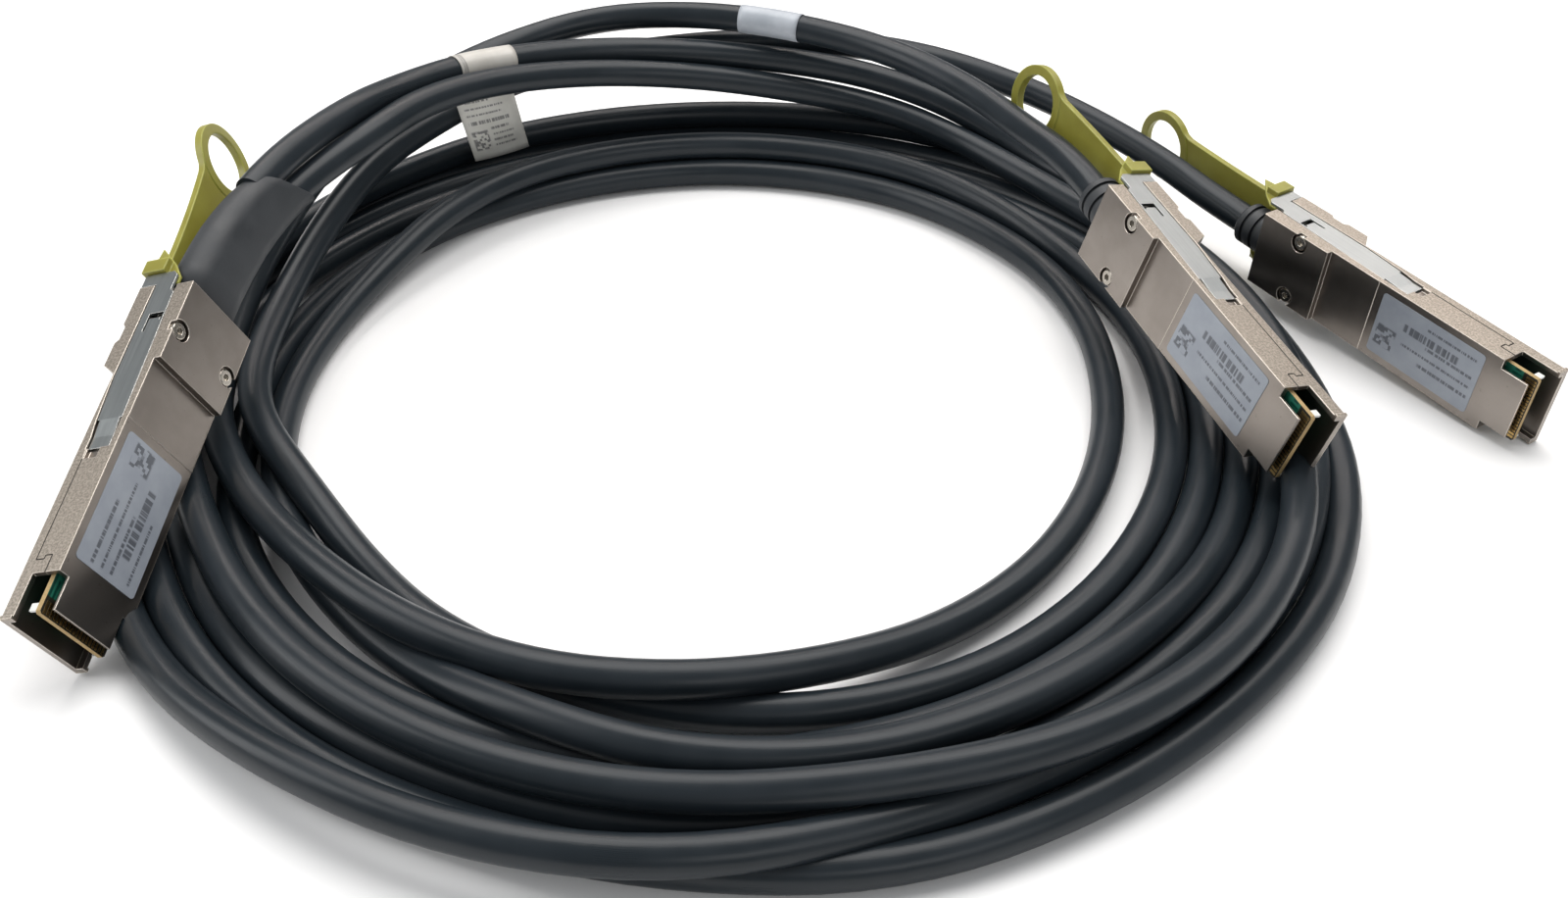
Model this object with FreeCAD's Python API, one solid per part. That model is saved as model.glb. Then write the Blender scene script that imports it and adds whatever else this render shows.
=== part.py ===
"""Direct attach copper cable: one trunk plug that feeds two coiled cables, each with its own plug.

Each plug is a two-shell die-cast module with a paddle card, a sprung latch slider and a pull tab.
A plug is modelled in its own frame and then laid in its place round the coil:
local +X points to the nose, +Y across the plug, +Z away from the label, and the origin is
the middle of the rear face. Lengths are millimetres and angles are degrees.
"""
import os
import FreeCAD
import Part
from math import atan2, cos, degrees, pi, radians, sin, sqrt, tan

V = FreeCAD.Vector

# ---- plug shells ----
shell_width = 18.35
front_height = 8.5           # the section that goes into the cage
shell_wall = 1.1             # floors and roofs
rear_wall = 2.4              # the wall that grips the cable
side_wall = 1.0              # beside the card
front_x = 65.4               # where the side walls end and the card shows
block_length = 19.0          # thick rear block on the label side
block_step = 1.57            # how far that block stands out past the front section
block_wall = 2.0             # front wall of the space inside that block
label_step_x = 32.6          # shallow step behind the label
label_step = 0.1
tongue_x = 71.8              # front lip of the label-side shell
tongue_sheet = 0.5           # thickness of that lip
tongue_notch = 2.27          # cut-in on both sides of that lip
tongue_root = 4.0            # how far the lip runs back into the floor
tip_x = 74.4                 # front edge of the other shell
tip_skirt = 2.55             # how far its side lips hang down at the front
tip_flare = 0.35
tip_flare_length = 0.7
hump_rear_x = -0.8
hump_height = 3.25           # rear hump above the front section
hump_crest_height = 3.35
hump_saddle_height = 2.55
hump_saddle = (8.9, 12.8)    # shallow dip across the hump
hump_slope = 0.4             # half the length of each slope into that dip
hump_crest_end = 18.8
hump_foot = 21.2
seam_height = 6.55           # shell seam, above the label face
seam_hook_x = 61.9           # hooked joint at the front end of the seam
seam_hook_drop = 3.3
seam_hook_step = 0.7
recess_wall = 0.6            # least wall between the slider recess and the inside
pocket_wall = 0.5            # wall in front of the finger pocket

# ---- latch slider, its recess and springs ----
sheet = 0.6                  # slider sheet
slide_gap = 0.2              # running clearance round the slider
slider_inset = 0.15          # slider face below the shell's side face
slide_travel = 2.5
arm_rear_x = -4.1
arm_low = (-1.5, -2.7)       # lower edge at the rear and at the front bend
arm_heel = -0.5              # lower edge of the rear end
arm_heel_x = (0.9, 1.6)      # slope from that edge down to the arm
arm_heel_cut = 1.0           # cut-off rear corner
arm_high = (3.75, 3.0, 2.4)  # upper edge: rear, first bend, second bend
arm_taper_x = 22.0
bend_x = (32.4, 36.3)
bend_depth = 0.3
arm_end_rise = 0.5           # lower edge of the stepped-in end, above the arm's
arm_tip_x = 38.9
pocket_end_x = 41.3          # pocket that the cage's spring finger drops into
pocket_heights = (-0.9, 2.0)
bridge_gap = 0.3             # between the bridge and the rear of the hump
bridge_tongue = (3.6, 10.0)  # part of the bridge that is moulded into the pull tab
window_x = (6.8, 8.8)        # opening that the inward stop was bent out of
window_height = 3.4
window_slot_end = 11.3
window_slot = 0.5
stop_depth = 2.0             # inward stop that the spring pushes on
stop_height = (-1.3, 1.2)    # about the spring's axis
spring_diameter = 2.0
spring_wire = 0.4
spring_turns = 3.0
spring_height = 0.3
spring_play = 0.06
spring_room = 0.5            # below the spring, in the shell

# ---- screws ----
screw_x = 11.1
screw_inset = 1.975          # from the shell's side
screw_head_diameter = 3.5
screw_head_height = 1.0
screw_shank_diameter = 1.6
screw_length = 9.0
screw_head_round = 0.3
screw_socket = 1.4           # across flats
screw_socket_depth = 0.6
screw_clearance = 0.2        # round the shank in the label-side shell
thread_spare = 0.4           # blind end of the thread past the screw
screw_bore_diameter = 4.4
screw_bore_depth = 1.25
boss_width = 3.4
boss_inset = 3.775           # inner face, from the shell's side

# ---- paddle card ----
card_rear_x = 26.0
card_front_x = 72.8
card_inset = 1.15            # its edge, from the shell's side
card_neck_inset = 2.375
card_neck_x = 43.0
card_thickness = 1.0
card_chamfer = 0.4
card_lift = 1.8              # card above the outside of the label face
contact_count = 19
contact_margin = 0.825       # middle of the last contact, from the card's edge
contact_size = (2.4, 0.54, 0.06)
contact_inset = 0.25
chip_size = (3.0, 3.0, 0.9)
chip_x = 56.0
post_x = 71.6
post_width = 0.5
post_length = 1.5
post_height = 1.5
ledge_x = (44.0, 60.0)
ledge_width = 0.8

# ---- label on each plug ----
label_x = (34.6, 61.6)
label_inset = 1.675          # from the shell's side
label_thickness = 0.1

# ---- cables, grips and what is inside ----
cable_diameter = 7.0
cable_axis = 0.8             # height of the cable in the rear wall
pair_diameter = 1.1
pair_spacing = 1.6
pair_landing_x = 30.0
pair_runs = (4.0, 6.5)       # straight out of the crimp, and along the card
pair_pitch = (2.4, 1.6)      # between pairs on the card: one cable, two cables
crimp_length = 3.6
crimp_wall = 0.35
crimp_play = 0.05
boot_length = 8.5
boot_diameter = 10.0
boot_grooves = (2.6, 5.6)    # distance of each ring groove from the shell
boot_groove_width = 0.9
boot_groove_depth = 0.6
boot_end_chamfer = 0.8
neck_wall = 0.4              # moulded neck round the cable, in the rear wall
sleeve_width = 15.2
sleeve_height = 9.0
sleeve_neck_width = 14.0
sleeve_end = (-46.5, -4.2, -1.0)
twin_spacing = 7.3           # between the two cables in the sleeve

# ---- pull tab ----
tab_thickness = 1.5
tab_height = 7.5             # its middle plane at the yoke
tab_width = 11.6
ring_x = -46.4
ring_outer_diameter = 17.8
ring_hole_diameter = 13.2
ring_rim = 1.8               # thickness of the ring
ring_blend = 6.0             # hollow between the strap's sides and the ring
yoke_x = (-7.6, -4.3)
yoke_overhang = 0.625        # past the shell's side
yoke_leg = 1.5
yoke_foot = 2.8              # lower end of each leg
yoke_blend = 3.6             # hollow between the strap's sides and the yoke
yoke_tongue_y = (7.8, 8.3)
yoke_tongue = ((-1.3, 0.6), (-1.3, -0.8), (-3.0, -0.8), (-7.0, 2.0), (-12.0, 7.0))

# ---- the coil: closed outer form of the wound cable ----
coil_center = (-31.93, -1.10)
coil_inner_radius = 87.0
coil_band = 45.5             # width of the lower layer
coil_outer_offset = (3.0, -5.2)
coil_edge = 2.4              # rounding of its long edges
upper_inset = 13.0           # inner edge of the upper layer, outside the lower one's
upper_inner_offset = (9.6, 2.6)
upper_band = 27.0            # width of the upper layer
upper_outer_offset = (2.0, -5.6)
upper_ends = (195.0, 35.0)   # angles where the upper layer ends and the loose leads begin
seat_gap = 0.5               # round each plug that lies on the coil

# Places round the coil are (angle, distance outside its inner edge, height).

# ---- the lie of the plugs: place of the local origin round the coil, nose heading, drop and roll ----
plugs = {
    "trunk": dict(at=(191.120, 13.59, 32.01), heading=-96.2, drop=17.0, roll=108.4, flex=4.3),
    "branch1": dict(at=(13.287, 5.68, 31.51), heading=-68.8, drop=10.0, roll=-100.5, flex=-2.2),
    "branch2": dict(at=(17.320, 52.74, 14.81), heading=-57.2, drop=4.1, roll=-89.6, flex=1.5),
}

# ---- loose leads as places round the coil, in order from the plug ----
trunk_lead_1_points = [
    (147.5, 14.0, 44.0),
    (137.5, 16.5, 41.8),
    (126.0, 20.0, 39.5),
    (111.0, 23.5, 36.0),
    (95.0, 26.5, 31.8),
    (79.0, 29.5, 28.2),
    (68.0, 32.0, 23.5),
    (57.0, 34.0, 16.8),
]
trunk_lead_2_points = [
    (147.0, 10.0, 37.5),
    (137.5, 12.3, 35.0),
    (125.0, 16.0, 32.4),
    (110.0, 19.0, 29.5),
    (94.0, 21.5, 25.5),
    (79.0, 23.5, 21.2),
    (67.0, 25.3, 16.5),
    (57.0, 26.6, 12.6),
]
branch1_lead_points = [
    (38.0, 7.8, 34.6),
    (51.0, 13.5, 35.2),
    (65.0, 21.0, 36.8),
    (79.0, 27.0, 38.6),
    (92.0, 33.0, 38.9),
    (105.0, 38.5, 37.2),
    (118.0, 36.0, 34.2),
    (131.0, 29.0, 32.2),
    (144.0, 21.5, 29.2),
    (157.0, 15.5, 24.8),
    (171.0, 15.5, 17.0),
]
branch2_lead_points = [
    (33.0, 47.0, 19.6),
    (43.0, 45.0, 22.3),
    (54.0, 44.0, 25.4),
    (66.0, 41.5, 28.8),
    (79.0, 37.5, 31.6),
    (92.0, 34.5, 30.6),
    (105.0, 34.0, 29.0),
    (118.0, 31.5, 27.2),
    (129.0, 28.2, 24.5),
    (141.0, 17.5, 22.0),
    (154.0, 10.5, 18.0),
    (169.0, 7.8, 13.0),
]
lead_end_run = 20.0          # straight run where a lead meets the coil
lead_start_run = 14.0        # straight run behind a grip
face_places = {"trunk_lead_1": 34.5, "trunk_lead_2": 26.5, "branch1_lead": 16.0, "branch2_lead": 7.2}
bend_share = 0.45            # part of the shorter run that each bend takes up

# ---- labels wrapped round the leads ----
wrap_thickness = 0.25
wrap_width = 14.5
flag_size = (15.5, 23.5)     # hanging flag: along the cable, and down from its side
flag_offset = 2.2            # of the flag from the cable's middle, outwards
flag_label_at = (123.0, 20.6, 38.9)
wrap_label_at = (82.5, 28.7, 38.8)

# ---- derived values ----
half_width = shell_width / 2
half_front = front_height / 2
screw_y = half_width - screw_inset
boss_inner_y = half_width - boss_inset
card_width = shell_width - 2 * card_inset
card_neck_width = shell_width - 2 * card_neck_inset
contact_pitch = (card_width - 2 * contact_margin) / (contact_count - 1)
label_width = shell_width - 2 * label_inset
yoke_half = half_width + yoke_overhang
floor_z = -half_front + shell_wall
roof_z = half_front - shell_wall
seam_z = -half_front + seam_height
block_z = -half_front - block_step
arm_outer = half_width - slider_inset
arm_inner = arm_outer - sheet
recess_y = arm_inner - slider_inset
deep_recess_y = recess_y - bend_depth
inner_y = deep_recess_y - recess_wall
card_y = half_width - side_wall
card_z = -half_front + card_lift
card_top = card_z + card_thickness
hook_z = seam_z - seam_hook_drop
hump_z = half_front + hump_height
grip_radius = cable_diameter / 2 + neck_wall
layer = cable_diameter
coil_outer_radius = coil_inner_radius + coil_band
upper_inner_radius = coil_inner_radius + upper_inset
upper_outer_radius = upper_inner_radius + upper_band


def box(x, y, z):
    """Box from three (low, high) pairs."""
    return Part.makeBox(x[1] - x[0], y[1] - y[0], z[1] - z[0], V(x[0], y[0], z[0]))


def side_prism(points, y):
    """Prism of an outline in the XZ plane, between two values of Y."""
    corners = [V(px, y[0], pz) for px, pz in points]
    face = Part.Face(Part.makePolygon(corners + corners[:1]))
    return face.extrude(V(0, y[1] - y[0], 0))


def plan_prism(points, z):
    """Prism of an outline in the XY plane, between two values of Z."""
    corners = [V(px, py, z[0]) for px, py in points]
    face = Part.Face(Part.makePolygon(corners + corners[:1]))
    return face.extrude(V(0, 0, z[1] - z[0]))


def both_sides(shape):
    """The shape and its mirror image across the plug's middle plane."""
    return [shape, shape.mirror(V(0, 0, 0), V(0, 1, 0))]


def cut_all(shape, tools):
    for tool in tools:
        shape = shape.cut(tool)
    return shape


def fuse_all(shapes):
    first, rest = shapes[0], shapes[1:]
    return first.fuse(rest).removeSplitter() if rest else first


def oval(center, across, width, height, normal):
    """Closed racetrack outline of a given width and height, its long way along `across`."""
    up = normal.cross(across)
    side = across * ((width - height) / 2)
    rise = up * (height / 2)
    tip = across * (height / 2)
    a, b = center + side - rise, center + side + rise
    c, d = center - side + rise, center - side - rise
    edges = [
        Part.Arc(a, center + side + tip, b).toShape(),
        Part.LineSegment(b, c).toShape(),
        Part.Arc(c, center - side - tip, d).toShape(),
        Part.LineSegment(d, a).toShape(),
    ]
    return Part.Wire(edges)


# ---- routes of cables and wires ----
def route(points, name=None):
    """Straight runs joined by tangent arcs; each arc takes up bend_share of its shorter run."""
    edges = []
    start = points[0]
    smallest = None
    for before, corner, after in zip(points, points[1:], points[2:]):
        inward = (corner - before).normalize()
        outward = (after - corner).normalize()
        half_turn = inward.getAngle(outward) / 2
        reach = bend_share * min((corner - before).Length, (after - corner).Length)
        radius = reach / tan(half_turn)
        middle = (outward - inward).normalize()
        arc_start = corner - inward * reach
        arc_end = corner + outward * reach
        arc_middle = corner + middle * (radius / cos(half_turn) - radius)
        edges.append(Part.LineSegment(start, arc_start).toShape())
        edges.append(Part.Arc(arc_start, arc_middle, arc_end).toShape())
        start = arc_end
        smallest = radius if smallest is None else min(smallest, radius)
        if name:
            print(f"{name}: turn {degrees(2 * half_turn):.1f} deg, radius {radius:.1f} mm")
    edges.append(Part.LineSegment(start, points[-1]).toShape())
    return Part.Wire(edges)


def tube(points, diameter, name=None):
    """Round cable or wire along a route."""
    path = route(points, name)
    heading = (points[1] - points[0]).normalize()
    section = Part.Wire(Part.makeCircle(diameter / 2, points[0], heading))
    solid = path.makePipeShell([section], True, False)
    if name:
        expected = pi * diameter ** 2 / 4 * path.Length
        ratio = solid.Volume / expected
        print(f"{name}: length {path.Length:.1f} mm, volume / (section x length) {ratio:.5f}")
    return solid


# ---- shells ----
def seam_hook():
    """Points of the hooked joint at the front end of the seam, from top to bottom."""
    return [
        (seam_hook_x + seam_hook_step, seam_z),
        (seam_hook_x + seam_hook_step, seam_z - seam_hook_drop / 2),
        (seam_hook_x, seam_z - seam_hook_drop / 2 - seam_hook_step / 2),
        (seam_hook_x, hook_z),
        (front_x, hook_z),
    ]


def arm_recess():
    """Room for one slider arm in the side of both shells, over its whole travel."""
    low = [z - slide_gap for z in arm_low]
    high = [z + slide_gap for z in arm_high]
    rear = arm_rear_x - slide_travel
    front = arm_tip_x + slide_gap
    outline = [
        (rear, low[0]),
        (bend_x[0], low[1]),
        (front, low[1]),
        (front, high[2]),
        (bend_x[1], high[2]),
        (bend_x[0], high[1]),
        (arm_taper_x, high[0]),
        (rear, high[0]),
    ]
    shallow = side_prism(outline, (recess_y, half_width + 1))
    deep_start = bend_x[0] - slide_travel - slide_gap
    deep = box((deep_start, front), (deep_recess_y, half_width + 1), (low[1] + arm_end_rise, high[2]))
    pocket = box((front, pocket_end_x), (recess_y, half_width + 1), pocket_heights)
    return fuse_all([shallow, deep, pocket])


def screw_bore(start_z, end_z, diameter):
    return Part.makeCylinder(diameter / 2, end_z - start_z, V(screw_x, screw_y, start_z))


def cable_hole(twin):
    """Opening in the rear wall, round for one cable and oval for two side by side."""
    start = V(-2, 0, cable_axis)
    if not twin:
        return Part.makeCylinder(grip_radius, rear_wall + 4, start, V(1, 0, 0))
    outline = oval(start, V(0, 1, 0), sleeve_neck_width, 2 * grip_radius, V(1, 0, 0))
    return Part.Face(outline).extrude(V(rear_wall + 4, 0, 0))


def hollow(z):
    """Space for the wires and the card between two heights, clear of the screw bosses."""
    boss_x = (screw_x - boss_width / 2, screw_x + boss_width / 2)
    behind = box((rear_wall, boss_x[0]), (-inner_y, inner_y), z)
    between = box((boss_x[0], boss_x[1]), (-boss_inner_y, boss_inner_y), z)
    wide_x = pocket_end_x + pocket_wall
    ahead = box((boss_x[1], wide_x), (-inner_y, inner_y), z)
    around_card = box((wide_x, tip_x + 1), (-card_y, card_y), z)
    return fuse_all([behind, between, ahead, around_card])


def bottom_shell(twin):
    outline = [
        (0, block_z),
        (block_length, block_z),
        (block_length, -half_front - label_step),
        (label_step_x, -half_front - label_step),
        (label_step_x, -half_front),
        (front_x, -half_front),
        *reversed(seam_hook()),
        (0, seam_z),
    ]
    shell = side_prism(outline, (-half_width, half_width))
    lip_y = half_width - tongue_notch
    lip_z = (-half_front, -half_front + tongue_sheet)
    shell = shell.fuse(box((front_x - tongue_root, tongue_x), (-lip_y, lip_y), lip_z))
    well_x = (rear_wall, block_length - block_wall)
    well = box(well_x, (-boss_inner_y, boss_inner_y), (block_z + shell_wall, 0))
    shell = cut_all(shell, [hollow((floor_z, seam_z + 1)), well, cable_hole(twin)])
    ledge = box(ledge_x, (card_y - ledge_width, card_y), (floor_z, card_z))
    shell = shell.fuse(both_sides(ledge)).removeSplitter()
    spring_slot = box(
        (rear_wall, window_x[1] + slide_gap),
        (inner_y - 1, half_width),
        (spring_height - spring_diameter / 2 - spring_room, seam_z + 1),
    )
    tools = both_sides(arm_recess()) + both_sides(spring_slot)
    tools += both_sides(screw_bore(block_z, block_z + screw_bore_depth, screw_bore_diameter))
    tools += both_sides(screw_bore(block_z, seam_z + 1, screw_shank_diameter + screw_clearance))
    return cut_all(shell, tools).removeSplitter()


def top_shell(twin):
    saddle_z = half_front + hump_saddle_height
    crest_z = half_front + hump_crest_height
    outline = [
        (hump_rear_x, seam_z),
        (hump_rear_x, hump_z),
        (hump_saddle[0] - hump_slope, hump_z),
        (hump_saddle[0] + hump_slope, saddle_z),
        (hump_saddle[1] - hump_slope, saddle_z),
        (hump_saddle[1] + hump_slope, crest_z),
        (hump_crest_end, crest_z),
        (hump_foot, half_front),
        (tip_x, half_front),
        (tip_x, half_front - tip_skirt),
        (front_x, half_front - tip_skirt),
        *reversed(seam_hook()),
    ]
    shell = side_prism(outline, (-half_width, half_width))
    flare_x = (tip_x - tip_flare_length, tip_x)
    flare_y = (half_width - side_wall, half_width + tip_flare)
    flare = box(flare_x, flare_y, (half_front - tip_skirt, half_front))
    shell = shell.fuse(both_sides(flare)).removeSplitter()
    inside = hollow((hook_z - 1, roof_z))
    under_hump = side_prism(
        [
            (rear_wall, roof_z - 1),
            (rear_wall, saddle_z - shell_wall),
            (hump_crest_end - shell_wall, saddle_z - shell_wall),
            (hump_foot - shell_wall, roof_z),
            (hump_foot - shell_wall, roof_z - 1),
        ],
        (-boss_inner_y, boss_inner_y),
    )
    clamp_rib = box(ledge_x, (card_y - ledge_width, card_y), (card_top, roof_z))
    shell = cut_all(shell, [inside, under_hump, cable_hole(twin)])
    shell = shell.fuse(both_sides(clamp_rib)).removeSplitter()
    screw_end = block_z + screw_bore_depth + screw_length - screw_head_height
    thread = screw_bore(seam_z - 1, screw_end + thread_spare, screw_shank_diameter)
    return cut_all(shell, both_sides(arm_recess()) + both_sides(thread)).removeSplitter()


def shell_screws():
    """Two socket-head screws that hold the shells together."""
    seat_z = block_z + screw_bore_depth
    head = Part.makeCylinder(screw_head_diameter / 2, screw_head_height,
                             V(screw_x, screw_y, seat_z - screw_head_height))
    rim = [edge for edge in head.Edges if edge.Closed and edge.BoundBox.ZMax < seat_z - screw_head_height / 2]
    head = head.makeFillet(screw_head_round, rim)
    shank = Part.makeCylinder(screw_shank_diameter / 2, screw_length - screw_head_height,
                              V(screw_x, screw_y, seat_z))
    corners = []
    reach = screw_socket / 2 / cos(radians(30))
    for step in range(6):
        angle = radians(60 * step)
        corners.append((screw_x + reach * cos(angle), screw_y + reach * sin(angle)))
    top_z = seat_z - screw_head_height
    socket = plan_prism(corners, (top_z - 1, top_z + screw_socket_depth))
    return Part.makeCompound(both_sides(head.fuse(shank).cut(socket)))


# ---- card ----
def paddle_card():
    neck = card_neck_width / 2
    wide = card_width / 2
    outline = [
        (card_rear_x, -neck),
        (card_neck_x, -neck),
        (card_neck_x, -wide),
        (card_front_x - card_chamfer, -wide),
        (card_front_x, -wide + card_chamfer),
        (card_front_x, wide - card_chamfer),
        (card_front_x - card_chamfer, wide),
        (card_neck_x, wide),
        (card_neck_x, neck),
        (card_rear_x, neck),
    ]
    return plan_prism(outline, (card_z, card_top))


def edge_contacts():
    """Gold pads in one row on each face of the card."""
    length, width, thick = contact_size
    x_end = card_front_x - contact_inset
    pads = []
    for index in range(contact_count):
        y = (index - (contact_count - 1) / 2) * contact_pitch
        for low in (card_top, card_z - thick):
            pads.append(box((x_end - length, x_end), (y - width / 2, y + width / 2), (low, low + thick)))
    return Part.makeCompound(pads)


def memory_chip():
    length, width, height = chip_size
    return box((chip_x, chip_x + length), (-width / 2, width / 2), (card_top, card_top + height))


def card_posts():
    """Two short plastic posts that stand on the card's side edges beside the contacts."""
    outer = card_width / 2
    post = box((post_x - post_length / 2, post_x + post_length / 2), (outer - post_width, outer),
               (card_top, card_top + post_height))
    return Part.makeCompound(both_sides(post))


def cable_rows(twin):
    """Sideways place of each cable that enters the plug."""
    return [-twin_spacing / 2, twin_spacing / 2] if twin else [0.0]


def wire_pairs(twin):
    """Screened pairs, from the grip in the rear wall to the upper face of the card."""
    wires = []
    rows = cable_rows(twin)
    pitch = pair_pitch[1] if twin else pair_pitch[0]
    for center in rows:
        landing = center - 1.5 * pitch if not twin else center / abs(center) * 2 * pitch - 1.5 * pitch
        for index, (side, level) in enumerate(((-1, -1), (-1, 1), (1, -1), (1, 1))):
            y_start = center + side * pair_spacing / 2
            z_start = cable_axis + level * pair_spacing / 2
            y_end = landing + index * pitch
            z_end = card_top + pair_diameter / 2
            points = [
                V(rear_wall, y_start, z_start),
                V(rear_wall + crimp_length + pair_runs[0], y_start, z_start),
                V(pair_landing_x - pair_runs[1], y_end, z_end),
                V(pair_landing_x, y_end, z_end),
            ]
            wires.append(tube(points, pair_diameter))
    return Part.makeCompound(wires)


def cable_crimp(twin):
    """Metal ferrule round the pairs of each cable, just inside the rear wall."""
    inner = pair_spacing / sqrt(2) + pair_diameter / 2 + crimp_play
    rings = []
    for y in cable_rows(twin):
        start = V(rear_wall + crimp_play, y, cable_axis)
        outside = Part.makeCylinder(inner + crimp_wall, crimp_length, start, V(1, 0, 0))
        rings.append(outside.cut(Part.makeCylinder(inner, crimp_length, start, V(1, 0, 0))))
    return Part.makeCompound(rings)


# ---- slider, springs and pull tab ----
def slider_arm():
    """One arm: flat sheet beside the shell, stepped inwards at the front, with a lanced tab."""
    outline = [
        (arm_rear_x + arm_heel_cut, arm_heel),
        (arm_heel_x[0], arm_heel),
        (arm_heel_x[1], arm_low[0]),
        (bend_x[0], arm_low[1]),
        (bend_x[0], arm_high[1]),
        (arm_taper_x, arm_high[0]),
        (hump_rear_x - bridge_gap, arm_high[0]),
        (hump_rear_x - bridge_gap, hump_z),
        (arm_rear_x, hump_z),
        (arm_rear_x, arm_heel + arm_heel_cut),
    ]
    arm = side_prism(outline, (arm_inner, arm_outer))
    end_outline = [
        (bend_x[0], arm_inner),
        (bend_x[1], arm_inner - bend_depth),
        (arm_tip_x, arm_inner - bend_depth),
        (arm_tip_x, arm_outer - bend_depth),
        (bend_x[1], arm_outer - bend_depth),
        (bend_x[0], arm_outer),
    ]
    end = plan_prism(end_outline, (arm_low[1] + arm_end_rise, arm_high[2]))
    low, high = spring_height - window_height / 2, spring_height + window_height / 2
    window = box(window_x, (0, half_width), (low, high))
    slot = box((window_x[0], window_slot_end), (0, half_width), (high - window_slot, high))
    stop_z = [spring_height + edge for edge in stop_height]
    stop = box((window_x[1] - sheet, window_x[1]), (arm_inner - stop_depth, arm_outer), stop_z)
    return fuse_all([arm.cut(window).cut(slot), end, stop])


def latch_slider():
    """Both arms and the bridge behind the hump, bent from one sheet."""
    bridge_x = (arm_rear_x, hump_rear_x - bridge_gap)
    bridge = box(bridge_x, (-arm_outer, arm_outer), (hump_z - sheet, hump_z))
    length, width = bridge_tongue
    tongue = box((arm_rear_x - length, arm_rear_x), (-width / 2, width / 2), (hump_z - sheet, hump_z))
    return fuse_all(both_sides(slider_arm()) + [bridge, tongue])


def return_springs():
    """Two coil springs, each between the rear wall and a slider stop."""
    radius = (spring_diameter - spring_wire) / 2
    start = rear_wall + spring_play + spring_wire / 2
    length = window_x[1] - sheet - spring_play - spring_wire / 2 - start
    helix = Part.makeHelix(length / spring_turns, length, radius)
    half = spring_wire / 2
    corners = [
        V(radius - half, 0, -half),
        V(radius + half, 0, -half),
        V(radius + half, 0, half),
        V(radius - half, 0, half),
    ]
    section = Part.makePolygon(corners + corners[:1])
    spring = Part.Wire(helix.Edges).makePipeShell([section], True, True)
    spring_y = arm_inner - spring_play - spring_diameter / 2
    spring.Placement = FreeCAD.Placement(V(start, spring_y, spring_height), FreeCAD.Rotation(V(0, 1, 0), 90))
    return Part.makeCompound(both_sides(spring))


def tab_band(flex, thickness, y):
    """Slice of even thickness that bends gently from the yoke to past the ring."""
    far_x = ring_x - ring_outer_diameter
    span = yoke_x[0] - ring_x

    def height(x):
        return tab_height + flex * ((yoke_x[0] - x) / span) ** 2

    middle_x = (yoke_x[0] + far_x) / 2
    edges = []
    for offset in (thickness / 2, -thickness / 2):
        points = [V(x, y[0], height(x) + offset) for x in (yoke_x[0], middle_x, far_x)]
        edges.append((points, Part.Arc(*points).toShape()))
    (upper, upper_arc), (lower, lower_arc) = edges
    side = Part.LineSegment(upper[2], lower[2]).toShape()
    root = Part.LineSegment(lower[0], upper[0]).toShape()
    face = Part.Face(Part.Wire([upper_arc, side, lower_arc, root]))
    return face.extrude(V(0, y[1] - y[0], 0))


def strap_plan(tall):
    """The strap seen from above, with a hollow blend into the yoke and into the ring."""
    side = tab_width / 2
    ring_radius = ring_outer_diameter / 2

    def post(radius, x, y):
        return Part.makeCylinder(radius, tall[1] - tall[0], V(x, y, tall[0]))

    strap = box((ring_x, yoke_x[0]), (-side, side), tall)
    yoke_corner = box((yoke_x[0] - yoke_blend, yoke_x[0]), (side, side + yoke_blend), tall)
    yoke_corner = yoke_corner.cut(post(yoke_blend, yoke_x[0] - yoke_blend, side + yoke_blend))
    center_y = side + ring_blend
    center_x = ring_x + sqrt((ring_radius + ring_blend) ** 2 - center_y ** 2)
    ring_corner = plan_prism([(ring_x, 0), (center_x, center_y), (center_x, 0)], tall)
    ring_corner = ring_corner.cut(post(ring_blend, center_x, center_y))
    strap = strap.fuse(both_sides(yoke_corner) + both_sides(ring_corner))
    return strap, post(ring_radius, ring_x, 0), post(ring_hole_diameter / 2, ring_x, 0)


def pull_tab(flex, slider):
    """Moulded strap with a finger ring; its yoke straddles the cable and grips the slider."""
    strap, ring, hole = strap_plan((ring_x, -ring_x))
    reach = (-ring_outer_diameter, ring_outer_diameter)
    strap = strap.common(tab_band(flex, tab_thickness, reach))
    rim = ring.common(tab_band(flex, ring_rim, reach))
    bar_z = (tab_height - tab_thickness / 2, tab_height + tab_thickness / 2)
    bar = box(yoke_x, (-yoke_half, yoke_half), bar_z)
    leg = box(yoke_x, (yoke_half - yoke_leg, yoke_half), (yoke_foot, tab_height))
    tongue_root = [(yoke_x[0], tab_height), (yoke_x[1], tab_height), (yoke_x[1], yoke_foot)]
    tongue = side_prism(tongue_root + list(yoke_tongue), yoke_tongue_y)
    whole = strap.fuse([rim, bar] + both_sides(leg) + both_sides(tongue)).cut(hole).cut(slider)
    return whole.removeSplitter()


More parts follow.
